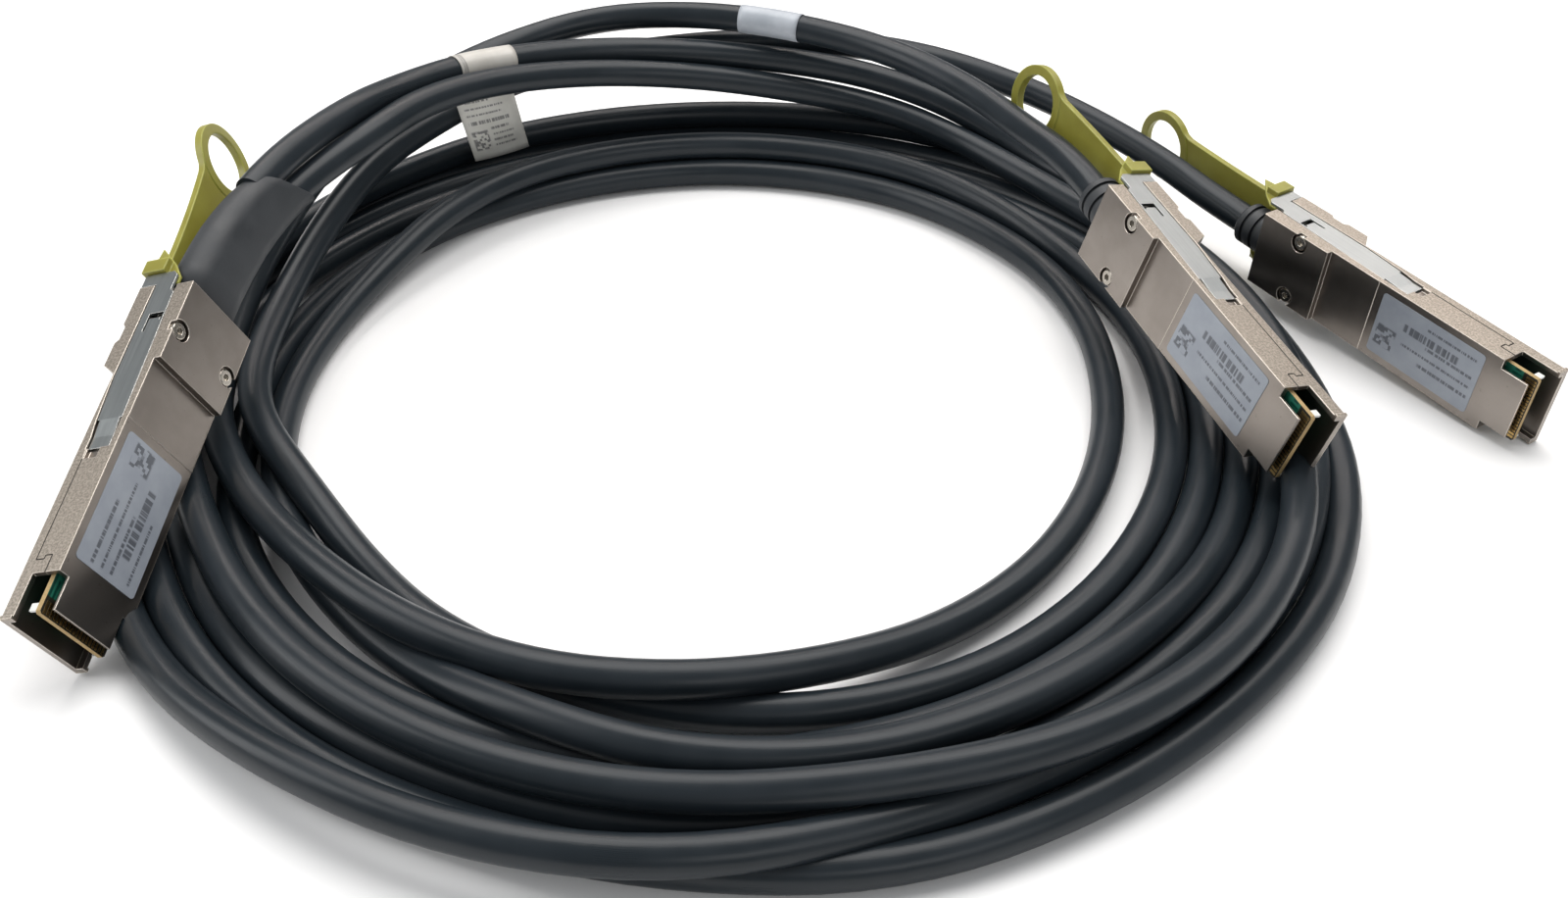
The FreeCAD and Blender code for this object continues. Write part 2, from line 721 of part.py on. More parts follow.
# ---- grips behind the shells ----
def strain_relief():
    """Moulded collar with two ring grooves, and the neck that the rear wall grips."""
    rear = hump_rear_x - boot_length
    radius = boot_diameter / 2
    collar = Part.makeCylinder(radius, boot_length, V(rear, 0, cable_axis), V(1, 0, 0))
    rim = [edge for edge in collar.Edges if edge.Closed and edge.BoundBox.XMax < rear + 0.1]
    collar = collar.makeChamfer(boot_end_chamfer, rim)
    for distance in boot_grooves:
        start = V(hump_rear_x - distance - boot_groove_width, 0, cable_axis)
        ring = Part.makeCylinder(radius + 1, boot_groove_width, start, V(1, 0, 0))
        ring = ring.cut(Part.makeCylinder(radius - boot_groove_depth, boot_groove_width, start, V(1, 0, 0)))
        collar = collar.cut(ring)
    neck = Part.makeCylinder(grip_radius, rear_wall - hump_rear_x, V(hump_rear_x, 0, cable_axis), V(1, 0, 0))
    return collar.fuse(neck).removeSplitter()


def sleeve_path():
    """Arc that leaves the shell along -X and passes through the sleeve's end."""
    start = V(hump_rear_x, 0, cable_axis)
    end = V(*sleeve_end)
    chord = end - start
    heading = V(-1, 0, 0)
    side = (chord - heading * chord.dot(heading)).normalize()
    bend = atan2(chord.dot(side), chord.dot(heading))
    sagitta = chord.Length / 2 * tan(bend / 2)
    bulge = (side * cos(bend) - heading * sin(bend)).normalize()
    middle = start + chord / 2 - bulge * sagitta
    leaving = heading * cos(2 * bend) + side * sin(2 * bend)
    return start, middle, end, leaving


def cable_sleeve():
    """Flat sleeve over the two cables, and the oval neck that the rear wall grips."""
    start, middle, end, leaving = sleeve_path()
    path = Part.Wire(Part.Arc(start, middle, end).toShape())
    section = oval(start, V(0, 1, 0), sleeve_width, sleeve_height, V(1, 0, 0))
    sleeve = path.makePipeShell([section], True, False)
    neck_outline = oval(start, V(0, 1, 0), sleeve_neck_width, 2 * grip_radius, V(1, 0, 0))
    neck = Part.Face(neck_outline).extrude(V(rear_wall - hump_rear_x, 0, 0))
    return sleeve.fuse(neck).removeSplitter()


def rating_label():
    return box(label_x, (-label_width / 2, label_width / 2), (-half_front - label_thickness, -half_front))


# ---- coil and leads ----
def coil_point(angle, out, height):
    """Place round the coil: angle, distance outside its inner edge, and height."""
    x, y = coil_center
    radius = coil_inner_radius + out
    return V(x + radius * cos(radians(angle)), y + radius * sin(radians(angle)), height)


def ring_layer(z, inner_radius, inner_offset, outer_radius, outer_offset):
    """Flat ring between two circles whose middles may differ, with rounded outer edges."""
    x, y = coil_center
    disc = Part.makeCylinder(outer_radius, z[1] - z[0], V(x + outer_offset[0], y + outer_offset[1], z[0]))
    hole = Part.makeCylinder(inner_radius, z[1] - z[0], V(x + inner_offset[0], y + inner_offset[1], z[0]))
    ring = disc.cut(hole)
    rims = [edge for edge in ring.Edges if edge.Closed and edge.BoundBox.ZMin > z[1] - 0.1]
    return ring.makeFillet(coil_edge, rims)


def plug_envelope(pose):
    """Room that the coil leaves for a plug lying on it or beside it."""
    x = (hump_rear_x - boot_length - seat_gap, tip_x + seat_gap)
    y = (-half_width - seat_gap, half_width + seat_gap)
    body = box(x, y, (block_z - seat_gap, hump_z + seat_gap))
    body.Placement = pose
    above = body.copy()
    above.translate(V(0, 0, shell_width / 2))
    return body.fuse(above)


def coil(poses):
    lower = ring_layer((0, layer), coil_inner_radius, (0, 0), coil_outer_radius, coil_outer_offset)
    upper = ring_layer((layer, 2 * layer), upper_inner_radius, upper_inner_offset,
                       upper_outer_radius, upper_outer_offset)
    far = 2 * coil_outer_radius
    first, last = upper_ends
    wedge_points = [coil_center]
    for angle in (last, (first + last) / 2, first):
        corner = coil_point(angle, far, 0)
        wedge_points.append((corner.x, corner.y))
    open_side = plan_prism(wedge_points, (layer, 2 * layer))
    whole = lower.fuse(upper.cut(open_side))
    return cut_all(whole, [plug_envelope(pose) for pose in poses]).removeSplitter()


def plug_pose(plug):
    turn = FreeCAD.Rotation(plug["heading"], plug["drop"], plug["roll"])
    return FreeCAD.Placement(coil_point(*plug["at"]), turn)


def face_run(name, angle, turn):
    """Last two points of a lead: it meets the coil's end face squarely."""
    end = coil_point(angle, face_places[name], 1.5 * layer)
    tangent = V(-sin(radians(angle)), cos(radians(angle)), 0) * turn
    return [end + tangent * lead_end_run, end]


def lead_routes(poses):
    """Points of the four loose leads, from each plug's grip to the coil."""
    trunk, branch1, branch2 = poses
    _, _, sleeve_tip, leaving = sleeve_path()
    routes = {}
    first_angle, last_angle = upper_ends
    across = (V(0, 1, 0) - leaving * leaving.y).normalize()
    trunk_rows = (
        ("trunk_lead_1", 1, trunk_lead_1_points),
        ("trunk_lead_2", -1, trunk_lead_2_points),
    )
    for name, side, middle in trunk_rows:
        start = trunk.multVec(sleeve_tip + across * (side * twin_spacing / 2))
        points = [start, start + trunk.Rotation.multVec(leaving) * lead_start_run]
        points += [coil_point(*place) for place in middle]
        routes[name] = points + face_run(name, last_angle, 1)
    boot_end = V(hump_rear_x - boot_length, 0, cable_axis)
    branch_rows = (
        ("branch1_lead", branch1, branch1_lead_points),
        ("branch2_lead", branch2, branch2_lead_points),
    )
    for name, pose, middle in branch_rows:
        start = pose.multVec(boot_end)
        points = [start, start + pose.Rotation.multVec(V(-lead_start_run, 0, 0))]
        points += [coil_point(*place) for place in middle]
        routes[name] = points + face_run(name, first_angle, -1)
    return routes


def wrapped_label(points, cable, at, flag):
    """Thin label round a cable; a flag label also hangs a doubled flap down from it."""
    place = coil_point(*at)
    angle = radians(at[0])
    along = V(-sin(angle), cos(angle), 0)
    sleeve = tube(points, cable_diameter + 2 * wrap_thickness)
    reach = (-cable_diameter, cable_diameter)
    window = box((-wrap_width / 2, wrap_width / 2), reach, reach)
    turn = FreeCAD.Rotation(degrees(atan2(along.y, along.x)), 0, 0)
    window.Placement = FreeCAD.Placement(place, turn)
    label = sleeve.common(window)
    if flag:
        width, drop = flag_size
        flap = box((-width / 2, width / 2), (-flag_offset - wrap_thickness, -flag_offset), (-drop, 0))
        flap.Placement = FreeCAD.Placement(place, turn)
        label = label.fuse(flap)
    return label.cut(cable).removeSplitter()


def save(node, shape, pose=None):
    if pose is not None:
        shape = shape.copy()
        shape.Placement = pose.multiply(shape.Placement)
    shape.exportStep(f"parts/{node}.step")
    print(f"{node}: {len(shape.Solids)} solid(s), volume {shape.Volume:.1f} mm3, valid {shape.isValid()}")
    return shape


def main():
    os.makedirs("parts", exist_ok=True)
    poses = [plug_pose(plug) for plug in plugs.values()]
    bounds = FreeCAD.BoundBox()
    for (prefix, plug), pose in zip(plugs.items(), poses):
        twin = prefix == "trunk"
        slider = latch_slider()
        pieces = {
            "bottom_shell": bottom_shell(twin),
            "top_shell": top_shell(twin),
            "shell_screws": shell_screws(),
            "paddle_card": paddle_card(),
            "edge_contacts": edge_contacts(),
            "memory_chip": memory_chip(),
            "card_posts": card_posts(),
            "wire_pairs": wire_pairs(twin),
            "cable_crimp": cable_crimp(twin),
            "latch_slider": slider,
            "return_springs": return_springs(),
            "pull_tab": pull_tab(plug["flex"], slider),
            "cable_grip": cable_sleeve() if twin else strain_relief(),
            "rating_label": rating_label(),
        }
        for name, shape in pieces.items():
            placed = save(f"{prefix}_{name}", shape, pose)
            bounds.add(placed.BoundBox)
    routes = lead_routes(poses)
    leads = {name: tube(points, cable_diameter, name) for name, points in routes.items()}
    for name, shape in leads.items():
        save(name, shape)
    save("coil", coil(poses))
    save("flag_label", wrapped_label(routes["trunk_lead_1"], leads["trunk_lead_1"], flag_label_at, True))
    save("wrap_label", wrapped_label(routes["branch1_lead"], leads["branch1_lead"], wrap_label_at, False))
    print(f"plugs: X {bounds.XMin:.3f}..{bounds.XMax:.3f}, Y {bounds.YMin:.3f}..{bounds.YMax:.3f}, "
          f"Z {bounds.ZMin:.3f}..{bounds.ZMax:.3f}")


main()
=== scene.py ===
# %% [markdown]
# A coiled direct attach cable is three metal plugs, two round black cables and a few labels.
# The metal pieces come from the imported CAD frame, and this lesson dresses them. The cables,
# their labels and the printed plates are modelled here, because a cable is soft: it has a
# length and a stiffness more than it has a shape. The frame is loaded first, and its box is kept.

# %% Load the frame
import bmesh
import bpy
import math
import numpy as np
from mathutils import Euler, Matrix, Vector


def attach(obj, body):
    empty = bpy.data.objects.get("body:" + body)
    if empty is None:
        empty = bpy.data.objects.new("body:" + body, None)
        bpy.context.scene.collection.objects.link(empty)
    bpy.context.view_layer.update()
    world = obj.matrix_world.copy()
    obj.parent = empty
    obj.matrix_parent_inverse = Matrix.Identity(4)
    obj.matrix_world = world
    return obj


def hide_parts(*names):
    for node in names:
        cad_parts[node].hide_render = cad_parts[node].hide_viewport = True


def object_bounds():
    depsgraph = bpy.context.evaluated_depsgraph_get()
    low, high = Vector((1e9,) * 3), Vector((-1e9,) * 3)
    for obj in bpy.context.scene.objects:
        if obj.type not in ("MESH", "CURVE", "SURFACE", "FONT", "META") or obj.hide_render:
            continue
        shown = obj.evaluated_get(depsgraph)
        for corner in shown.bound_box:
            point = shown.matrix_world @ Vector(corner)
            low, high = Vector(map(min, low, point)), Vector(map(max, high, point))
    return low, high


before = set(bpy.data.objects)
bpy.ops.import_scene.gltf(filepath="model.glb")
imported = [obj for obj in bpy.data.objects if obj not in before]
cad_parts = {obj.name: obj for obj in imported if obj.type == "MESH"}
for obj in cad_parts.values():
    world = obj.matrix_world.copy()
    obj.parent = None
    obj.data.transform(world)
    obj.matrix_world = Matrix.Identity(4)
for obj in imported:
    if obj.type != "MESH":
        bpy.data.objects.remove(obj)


def plain_box(box):
    """A box as plain lists of numbers."""
    return [[round(float(value), 6) for value in corner] for corner in box]


cad_box = plain_box(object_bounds())
scene = bpy.context.scene
mm = 0.001
print("CAD box in metres:", cad_box)

# %% [markdown]
# The camera stands in front of the coil and looks down on it at about 37 degrees, close enough
# for the near strands to look larger than the far ones. A lens of about 36 mm on a 36 mm sensor
# gives that perspective. It is placed first.

# %% Camera
camera_data = bpy.data.cameras.new("camera")
camera_data.lens = 35.55
camera_data.sensor_width = 36.0
camera_data.clip_start = 0.01
camera = bpy.data.objects.new("camera", camera_data)
camera.location = (-0.01443, -0.2821, 0.19581)
camera.rotation_euler = (math.radians(53.03), 0, 0)
scene.collection.objects.link(camera)
scene.camera = camera
print("camera", tuple(round(value, 3) for value in camera.location))

# %% [markdown]
# Black cable needs big soft boxes: a black jacket shows little but its reflections, so the
# boxes draw the broad soft highlights along each strand, and a narrow strip behind the coil adds
# a thin bright line. A pale floor and a pale sky fill the shadows. The sky is kept weaker than
# the boxes, because an evenly white room would turn the cable grey all round.

# %% Floor, sky and soft boxes
def plain_material(name, colour, roughness):
    """A material whose base colour and roughness are set on the shader's own sockets."""
    made = bpy.data.materials.new(name)
    made.use_nodes = True
    shader = made.node_tree.nodes["Principled BSDF"]
    shader.inputs["Base Color"].default_value = (*colour, 1)
    shader.inputs["Roughness"].default_value = roughness
    return made


def mesh_object(name, bm, material):
    """Makes an object of one material from a finished bmesh, and frees the bmesh."""
    mesh = bpy.data.meshes.new(name)
    bm.to_mesh(mesh)
    bm.free()
    mesh.materials.append(material)
    made = bpy.data.objects.new(name, mesh)
    scene.collection.objects.link(made)
    return made


def soft_box(name, place, target, size, power, tint=(1, 1, 1)):
    """A rectangular area light that faces a target."""
    data = bpy.data.lights.new(name, "AREA")
    data.shape = "RECTANGLE"
    data.size, data.size_y = size
    data.energy = power
    data.color = tint
    light = bpy.data.objects.new(name, data)
    light.location = place
    light.rotation_euler = (Vector(target) - Vector(place)).to_track_quat("-Z", "Y").to_euler()
    scene.collection.objects.link(light)


floor_reach = 3.0
floor_gap = 0.2 * mm        # keeps the floor from flickering through what lies on it
bm = bmesh.new()
bmesh.ops.create_grid(bm, x_segments=2, y_segments=2, size=floor_reach)
floor = mesh_object("floor", bm, plain_material("pale_floor", (0.93, 0.93, 0.93), 0.9))
floor.location.z = cad_box[0][2] - floor_gap

world = bpy.data.worlds.new("sky")
world.use_nodes = True
world.node_tree.nodes["Background"].inputs["Color"].default_value = (0.96, 0.98, 1.0, 1)
world.node_tree.nodes["Background"].inputs["Strength"].default_value = 0.34
scene.world = world
scene.view_settings.view_transform = "Standard"

middle = (-0.02, 0.0, 0.01)
soft_box("top_box", (0.05, 0.3, 0.85), middle, (1.1, 0.6), 9.5, (1.0, 0.98, 0.96))
soft_box("strip_box", (0.0, 0.75, 0.62), middle, (1.3, 0.07), 2.6, (1.0, 0.9, 0.85))
soft_box("left_box", (-0.85, -0.1, 0.5), middle, (0.4, 0.7), 3.6)
soft_box("front_box", (0.45, -0.85, 0.6), middle, (0.7, 0.35), 1.6)

# %% [markdown]
# Each plug lies at its own place on the coil, turned three ways. The same place and turns are
# given here as in the CAD, so that a pattern or a plate can be laid out in the plug's own
# millimetres, along its length, across its width and through its height.

# %% Places of the three plugs
coil_middle = (-31.93, -1.10)


def coil_point(angle, radius, height):
    """A place on the coil, from degrees and millimetres to metres."""
    turn = math.radians(angle)
    x = coil_middle[0] + radius * math.cos(turn)
    y = coil_middle[1] + radius * math.sin(turn)
    return Vector((x, y, height)) * mm


plugs = {
    "trunk": ((191.120, 100.59, 32.01), (-96.2, 17.0, 108.4)),
    "branch1": ((13.287, 92.68, 31.51), (-68.8, 10.0, -100.5)),
    "branch2": ((17.320, 139.74, 14.81), (-57.2, 4.1, -89.6)),
}


def plug_turn(plug):
    """How a plug is turned: rolled first, then dropped, then headed."""
    heading, drop, roll = (math.radians(angle) for angle in plugs[plug][1])
    return Euler((roll, drop, heading), "XYZ")


def plug_pose(plug):
    """The matrix from a plug's own metres to the frame."""
    return Matrix.Translation(coil_point(*plugs[plug][0])) @ plug_turn(plug).to_matrix().to_4x4()


for plug in plugs:
    print(plug, "origin at", tuple(round(v, 4) for v in plug_pose(plug).translation))

# %% [markdown]
# The two cables leave the trunk plug side by side, run along the top of the coil's far side,
# wind down into the coil and climb out of it again to their own plugs. A point on the coil is
# easiest to choose as an angle, a radius and a height about the coil's middle, as a winder
# would. Each loose lead starts and ends where its CAD tube does and runs near it in between.

# %% Points of the loose leads
cable_diameter = 7.0 * mm


def run_out(angle, radius, turn, length=20.0):
    """The last two points of a lead, where it joins the coil along its tangent."""
    end = coil_point(angle, radius, 10.5)
    way = Vector((-math.sin(math.radians(angle)), math.cos(math.radians(angle)), 0)) * turn
    return [end + way * length * mm, end]


def behind_trunk(x, y, z):
    """A place in the trunk plug's own millimetres."""
    return plug_pose("trunk") @ (Vector((x, y, z)) * mm)


trunk_lead_1 = [behind_trunk(-34.0, 0.6, -0.5), behind_trunk(-46.0, -1.6, -1.6)]
trunk_lead_1 += [coil_point(*place) for place in (
    (148.5, 96.5, 44.0), (137.5, 101.3, 41.3), (126.0, 106.0, 39.4), (111.0, 110.3, 36.2),
    (95.0, 113.5, 32.3), (79.0, 116.5, 28.6), (68.0, 120.6, 25.2), (57.0, 123.3, 19.2))]
trunk_lead_1 += run_out(35, 121.5, 1)
trunk_lead_2 = [behind_trunk(-34.0, -6.4, -0.5), behind_trunk(-46.0, -9.4, -1.6)]
trunk_lead_2 += [coil_point(*place) for place in (
    (148.0, 90.5, 39.6), (137.5, 94.4, 39.6), (125.0, 99.2, 37.2), (110.0, 104.2, 32.7),
    (94.0, 108.3, 27.6), (79.0, 112.3, 22.6), (67.0, 117.8, 18.5), (57.0, 118.2, 13.6))]
trunk_lead_2 += run_out(35, 113.5, 1)
branch1_lead = [Vector((55.68, 29.05, 32.98)) * mm, Vector((50.70, 41.90, 35.41)) * mm]
branch1_lead += [coil_point(*place) for place in (
    (38.0, 95.0, 35.2), (51.0, 101.5, 36.3), (65.0, 109.2, 37.6), (79.0, 114.8, 39.0),
    (92.0, 120.5, 39.6), (105.0, 126.3, 38.0), (118.0, 123.5, 34.6), (131.0, 116.0, 32.2),
    (144.0, 111.0, 29.4), (157.0, 105.6, 25.0), (171.0, 104.0, 17.2))]
branch1_lead += run_out(195, 103.0, -1)
branch2_lead = [Vector((97.12, 48.73, 15.48)) * mm, Vector((89.55, 60.47, 16.48)) * mm]
branch2_lead += [coil_point(*place) for place in (
    (33.0, 134.0, 19.8), (43.0, 132.5, 23.0), (54.0, 131.8, 26.2), (66.0, 129.6, 29.4),
    (79.0, 124.6, 31.6), (92.0, 121.8, 30.6), (105.0, 121.0, 29.0), (118.0, 118.5, 27.2),
    (129.0, 114.0, 23.8), (141.0, 107.2, 22.8), (154.0, 101.6, 18.4), (169.0, 97.0, 13.4))]
branch2_lead += run_out(195, 94.2, -1)
leads = (trunk_lead_1, trunk_lead_2, branch1_lead, branch2_lead)
print("lead points:", [len(lead) for lead in leads])

# %% [markdown]
# Each cable goes about three and a half times round, from the outside of the coil to its
# inside, and so it passes the near side four times. Nothing ties the turns, so each has its own
# size: the strands fan out at the near side and cross over and under each other. Places along
# each turn, as an angle, a radius and a height, say where it wanders. A helper then puts a point
# every 15 degrees between them, always the same way round.

# %% Turns of the two cables
turns_1 = [
    [(20, 123.5, 10.5), (0, 127, 9.5), (345, 129, 7), (330, 129.5, 5), (300, 129, 6), (285, 131.5, 7),
     (270, 135.5, 9), (255, 134, 9.5), (240, 130, 8), (225, 127, 4.5), (210, 124.5, 3.5),
     (180, 123, 3.5), (150, 122, 3.5), (120, 121.5, 3.5), (90, 121.5, 3.5), (60, 122, 3.5),
     (35, 123.5, 3.5)],
    [(15, 122.5, 3.5), (0, 122, 3.5), (330, 123.5, 3.5), (300, 123, 3.5), (285, 124, 3.5),
     (270, 125, 3.5), (255, 122.5, 3.5), (240, 120, 3.5), (225, 117, 3.5), (210, 113, 3.5),
     (180, 110, 3.5), (150, 108.5, 3.5), (120, 107.5, 3.5), (90, 107.5, 3.5), (60, 108.5, 3.5),
     (35, 109.5, 3.5)],
    [(15, 109, 3.5), (0, 108.5, 3.5), (330, 110.5, 3.5), (300, 111.5, 3.5), (270, 111.5, 3.5),
     (240, 109, 3.5), (225, 106, 3.5), (210, 103, 3.5), (195, 98.5, 3.5), (180, 96.5, 3.5),
     (150, 97, 3.5), (120, 99, 3.5), (90, 100.5, 3.5), (60, 99.5, 3.5), (35, 95.5, 3.5)],
    [(15, 91, 3.5), (0, 88.5, 3.5), (345, 88, 3.5), (330, 89, 3.5), (315, 91, 3.5), (300, 92.5, 4.5),
     (285, 95.5, 7.5), (270, 99.5, 10.5), (255, 99.5, 10.5), (240, 98, 10.5), (225, 97, 10.5),
     (210, 98.5, 10.5)],
]
turns_2 = [
    [(20, 114.5, 10.5), (0, 119, 10.5), (345, 126, 10.5), (330, 130, 11), (315, 131.5, 12),
     (300, 131.5, 12), (285, 128.5, 11), (270, 124.5, 10.5), (255, 120.5, 10), (240, 116.5, 9.5),
     (225, 112, 9.5), (210, 108.5, 9.5), (195, 108, 10), (180, 110, 10.5), (150, 117, 10.5),
     (120, 121, 10), (90, 121.5, 10), (60, 124, 8), (35, 130, 4)],
    [(15, 130.5, 3.5), (0, 131.5, 3.5), (345, 134, 3.5), (330, 136, 3.5), (300, 135, 3.5),
     (285, 134, 3.5), (270, 131.5, 3.5), (255, 127.5, 3.5), (240, 125, 3.5), (225, 122.5, 3.5),
     (210, 119.5, 3.5), (180, 116.5, 3.5), (150, 115.5, 3.5), (120, 114.5, 3.5), (90, 114.5, 3.5),
     (60, 115.5, 3.5), (35, 116.5, 3.5)],
    [(15, 116, 3.5), (0, 115.5, 3.5), (345, 116, 3.5), (330, 117, 4), (315, 117.5, 7),
     (300, 118.5, 10), (285, 118.5, 10.5), (270, 116, 10.5), (255, 108.5, 8.5), (240, 100.5, 4),
     (225, 95.5, 3.5), (210, 92, 3.5), (195, 90.5, 3.5), (180, 90, 3.5), (165, 90, 4), (150, 91, 6.5),
     (135, 95, 9.5), (120, 99.5, 10), (105, 102.5, 10), (90, 104, 10), (75, 104, 9.5), (60, 104.5, 8),
     (45, 104.5, 5.5), (35, 104, 4)],
    [(15, 102, 3.5), (0, 101.5, 3.5), (330, 102, 3.5), (315, 103.5, 3.5), (300, 104.5, 3.5),
     (285, 103, 3.5), (270, 99.5, 3.5), (255, 95, 3.5), (240, 91, 3.5), (225, 87.5, 3.5),
     (210, 89, 7.5)],
]


def wind(turns, start, finish, step=15):
    """Points of a whole winding, from the first angle down to the last one, in metres."""
    angles, radii, heights = [start[0]], [start[1]], [start[2]]
    for turn in turns:
        for angle, radius, height in turn:
            while angle > angles[-1]:
                angle -= 360
            angles.append(angle)
            radii.append(radius)
            heights.append(height)
    last = finish[0]
    while last > angles[-1]:
        last -= 360
    angles.append(last)
    radii.append(finish[1])
    heights.append(finish[2])
    grid = np.arange(math.floor(start[0] / step) * step, last, -step)
    grid = grid[grid > last + step / 2]
    back = -np.array(angles)
    return [coil_point(*point) for point in zip(
        grid, np.interp(-grid, back, radii), np.interp(-grid, back, heights))]


winding_1 = wind(turns_1, (35, 121.5, 10.5), (195, 103.0, 10.5))
winding_2 = wind(turns_2, (35, 113.5, 10.5), (195, 94.2, 10.5))
print("points in the windings:", len(winding_1), len(winding_2))

# %% [markdown]
# Chosen places are never exact, and two strands that share a place would look like one melted
# cable. Real turns push each other aside and sink until they touch. The helper does the same:
# it looks for points closer to another strand than a diameter, moves both apart, pulls every
# point a little towards its chosen place and a little down, and never lets one go below the
# floor. Moves are spread along each strand, because a stiff cable can't kink.

# %% Let the turns settle on each other
def nearest_on_runs(points, line):
    """For each point, the nearest place on a line of straight runs, its run and its share."""
    a, b = line[:-1], line[1:]
    run = b - a
    share = np.einsum("ijk,jk->ij", points[:, None] - a[None], run) / np.einsum("jk,jk->j", run, run)
    share = np.clip(share, 0, 1)
    near = a[None] + share[..., None] * run[None]
    return near, share, np.linalg.norm(points[:, None] - near, axis=2)


rounds = 260
push_share = 0.25       # of what is missing, per round
home_pull = 0.02        # towards the chosen place, per round
sink = 0.01 * mm        # per round
near_runs = 6           # a point's own neighbours don't push it
far_away = 9.0          # a distance that never counts as near


def settle(lines, free, gap):
    """Moves the free points of several lines apart, until no strands are nearer than the gap."""
    home = [line.copy() for line in lines]
    low = cable_diameter / 2
    for _ in range(rounds):
        moves = [np.zeros_like(line) for line in lines]
        for i, one in enumerate(lines):
            for j, other in enumerate(lines):
                near, share, distance = nearest_on_runs(one, other)
                if i == j:
                    own = np.abs(np.arange(len(one))[:, None] - np.arange(len(one) - 1)[None]) < near_runs
                    distance = np.where(own, far_away, distance)
                for p, q in zip(*np.nonzero(distance < gap)):
                    away = one[p] - near[p, q]
                    push = away / max(distance[p, q], 1e-6) * (gap - distance[p, q]) * push_share
                    moves[i][p] += push
                    moves[j][q] -= push * (1 - share[p, q])
                    moves[j][q + 1] -= push * share[p, q]
        for line, move, start, loose in zip(lines, moves, home, free):
            move += (start - line) * home_pull
            move[:, 2] -= sink
            smooth = move.copy()
            smooth[1:-1] = 0.5 * move[1:-1] + 0.25 * (move[:-2] + move[2:])
            line += smooth * loose[:, None]
            line[:, 2] = np.where(loose > 0, np.maximum(line[:, 2], low), line[:, 2])
    return lines


def whole_cable(lead_in, winding, lead_out, settling=4):
    """Points of one cable from plug to plug, and how free each is; a lead's last ones settle too."""
    points = np.array([*lead_in, *winding, *reversed(lead_out)], float)
    free = np.ones(len(points))
    free[:len(lead_in) - settling] = 0
    free[-(len(lead_out) - settling):] = 0
    return points, free


points_1, free_1 = whole_cable(trunk_lead_1, winding_1, branch1_lead)
points_2, free_2 = whole_cable(trunk_lead_2, winding_2, branch2_lead)
points_1, points_2 = settle([points_1, points_2], [free_1, free_2], cable_diameter * 1.01)
print("highest point of the coil, mm:", round(points_1[free_1 > 0][:, 2].max() / mm, 1))

# %% [markdown]
# A cable's jacket is squeezed over its screened pairs, so it isn't perfectly round: shallow
# lobes wind slowly round it and break its highlight into two or three lines. A bevel profile
# with those lobes is swept along the cable's spline and twisted by each point's tilt. It is
# drawn in millimetres and shrunk by each point's radius. The spline itself is smooth, a NURBS
# of order 3.

# %% Two cables
lobes = 4
lobe_depth = 0.09 * mm
twist_per_point = 0.35
profile_points = 32


def jacket_profile():
    """A closed outline of the jacket in millimetres, almost round, with shallow lobes."""
    data = bpy.data.curves.new("jacket_profile", "CURVE")
    data.dimensions = "2D"
    spline = data.splines.new("POLY")
    spline.points.add(profile_points - 1)
    for index, point in enumerate(spline.points):
        turn = 2 * math.pi * index / profile_points
        radius = (cable_diameter / 2 - lobe_depth * (0.5 - 0.5 * math.cos(lobes * turn))) / mm
        point.co = (radius * math.cos(turn), radius * math.sin(turn), 0, 1)
    spline.use_cyclic_u = True
    made = bpy.data.objects.new("jacket_profile", data)
    scene.collection.objects.link(made)
    made.hide_render = True
    return made


def cable_spline(name, points, profile=None):
    """A NURBS curve through the control points; with a profile it is the jacket."""
    data = bpy.data.curves.new(name, "CURVE")
    data.dimensions = "3D"
    data.resolution_u = 6
    spline = data.splines.new("NURBS")
    spline.points.add(len(points) - 1)
    for index, (point, place) in enumerate(zip(spline.points, points)):
        point.co = (*place, 1)
        point.tilt = index * twist_per_point
        point.radius = mm
    spline.order_u = 3
    spline.use_endpoint_u = True
    if profile:
        data.bevel_mode = "OBJECT"
        data.bevel_object = profile
        data.use_fill_caps = True
    made = bpy.data.objects.new(name, data)
    scene.collection.objects.link(made)
    return made


def spline_points(curve_object):
    """Points along a curve with no bevel."""
    mesh = bpy.data.meshes.new_from_object(curve_object)
    return [vertex.co.copy() for vertex in mesh.vertices]


def line_length(points):
    """Length along a row of points."""
    return sum((b - a).length for a, b in zip(points, points[1:]))


profile = jacket_profile()
cable_1 = cable_spline("cable_to_branch1", points_1, profile)
cable_2 = cable_spline("cable_to_branch2", points_2, profile)
line_1_curve = cable_spline("line_1", points_1)
line_2_curve = cable_spline("line_2", points_2)
bpy.context.view_layer.update()
line_1, line_2 = spline_points(line_1_curve), spline_points(line_2_curve)
for helper in (line_1_curve, line_2_curve):
    bpy.data.objects.remove(helper)
print(f"cable lengths {line_length(line_1):.3f} m and {line_length(line_2):.3f} m")

# %% [markdown]
# A finish on a real part is never one flat colour: it has a grain, clouds and specks, and the
# edges of metal and plastic parts here get a painted highlight. All finishes here are built from
# the same few nodes, so small helpers add them. Numbers that are the same everywhere are set on
# the shader itself, and only what varies is linked.
# Two more helpers dress a CAD node, and say which nodes a new piece takes the place of.

# %% Helpers for finishes and new pieces
def add_node(made, kind, inputs=None, **settings):
    """A new node of a material; an input is a number, a colour or the socket that feeds it."""
    fresh = made.node_tree.nodes.new("ShaderNode" + kind)
    for name, value in settings.items():
        setattr(fresh, name, value)
    for name, value in (inputs or {}).items():
        if isinstance(value, bpy.types.NodeSocket):
            made.node_tree.links.new(value, fresh.inputs[name])
        else:
            fresh.inputs[name].default_value = value
    return fresh


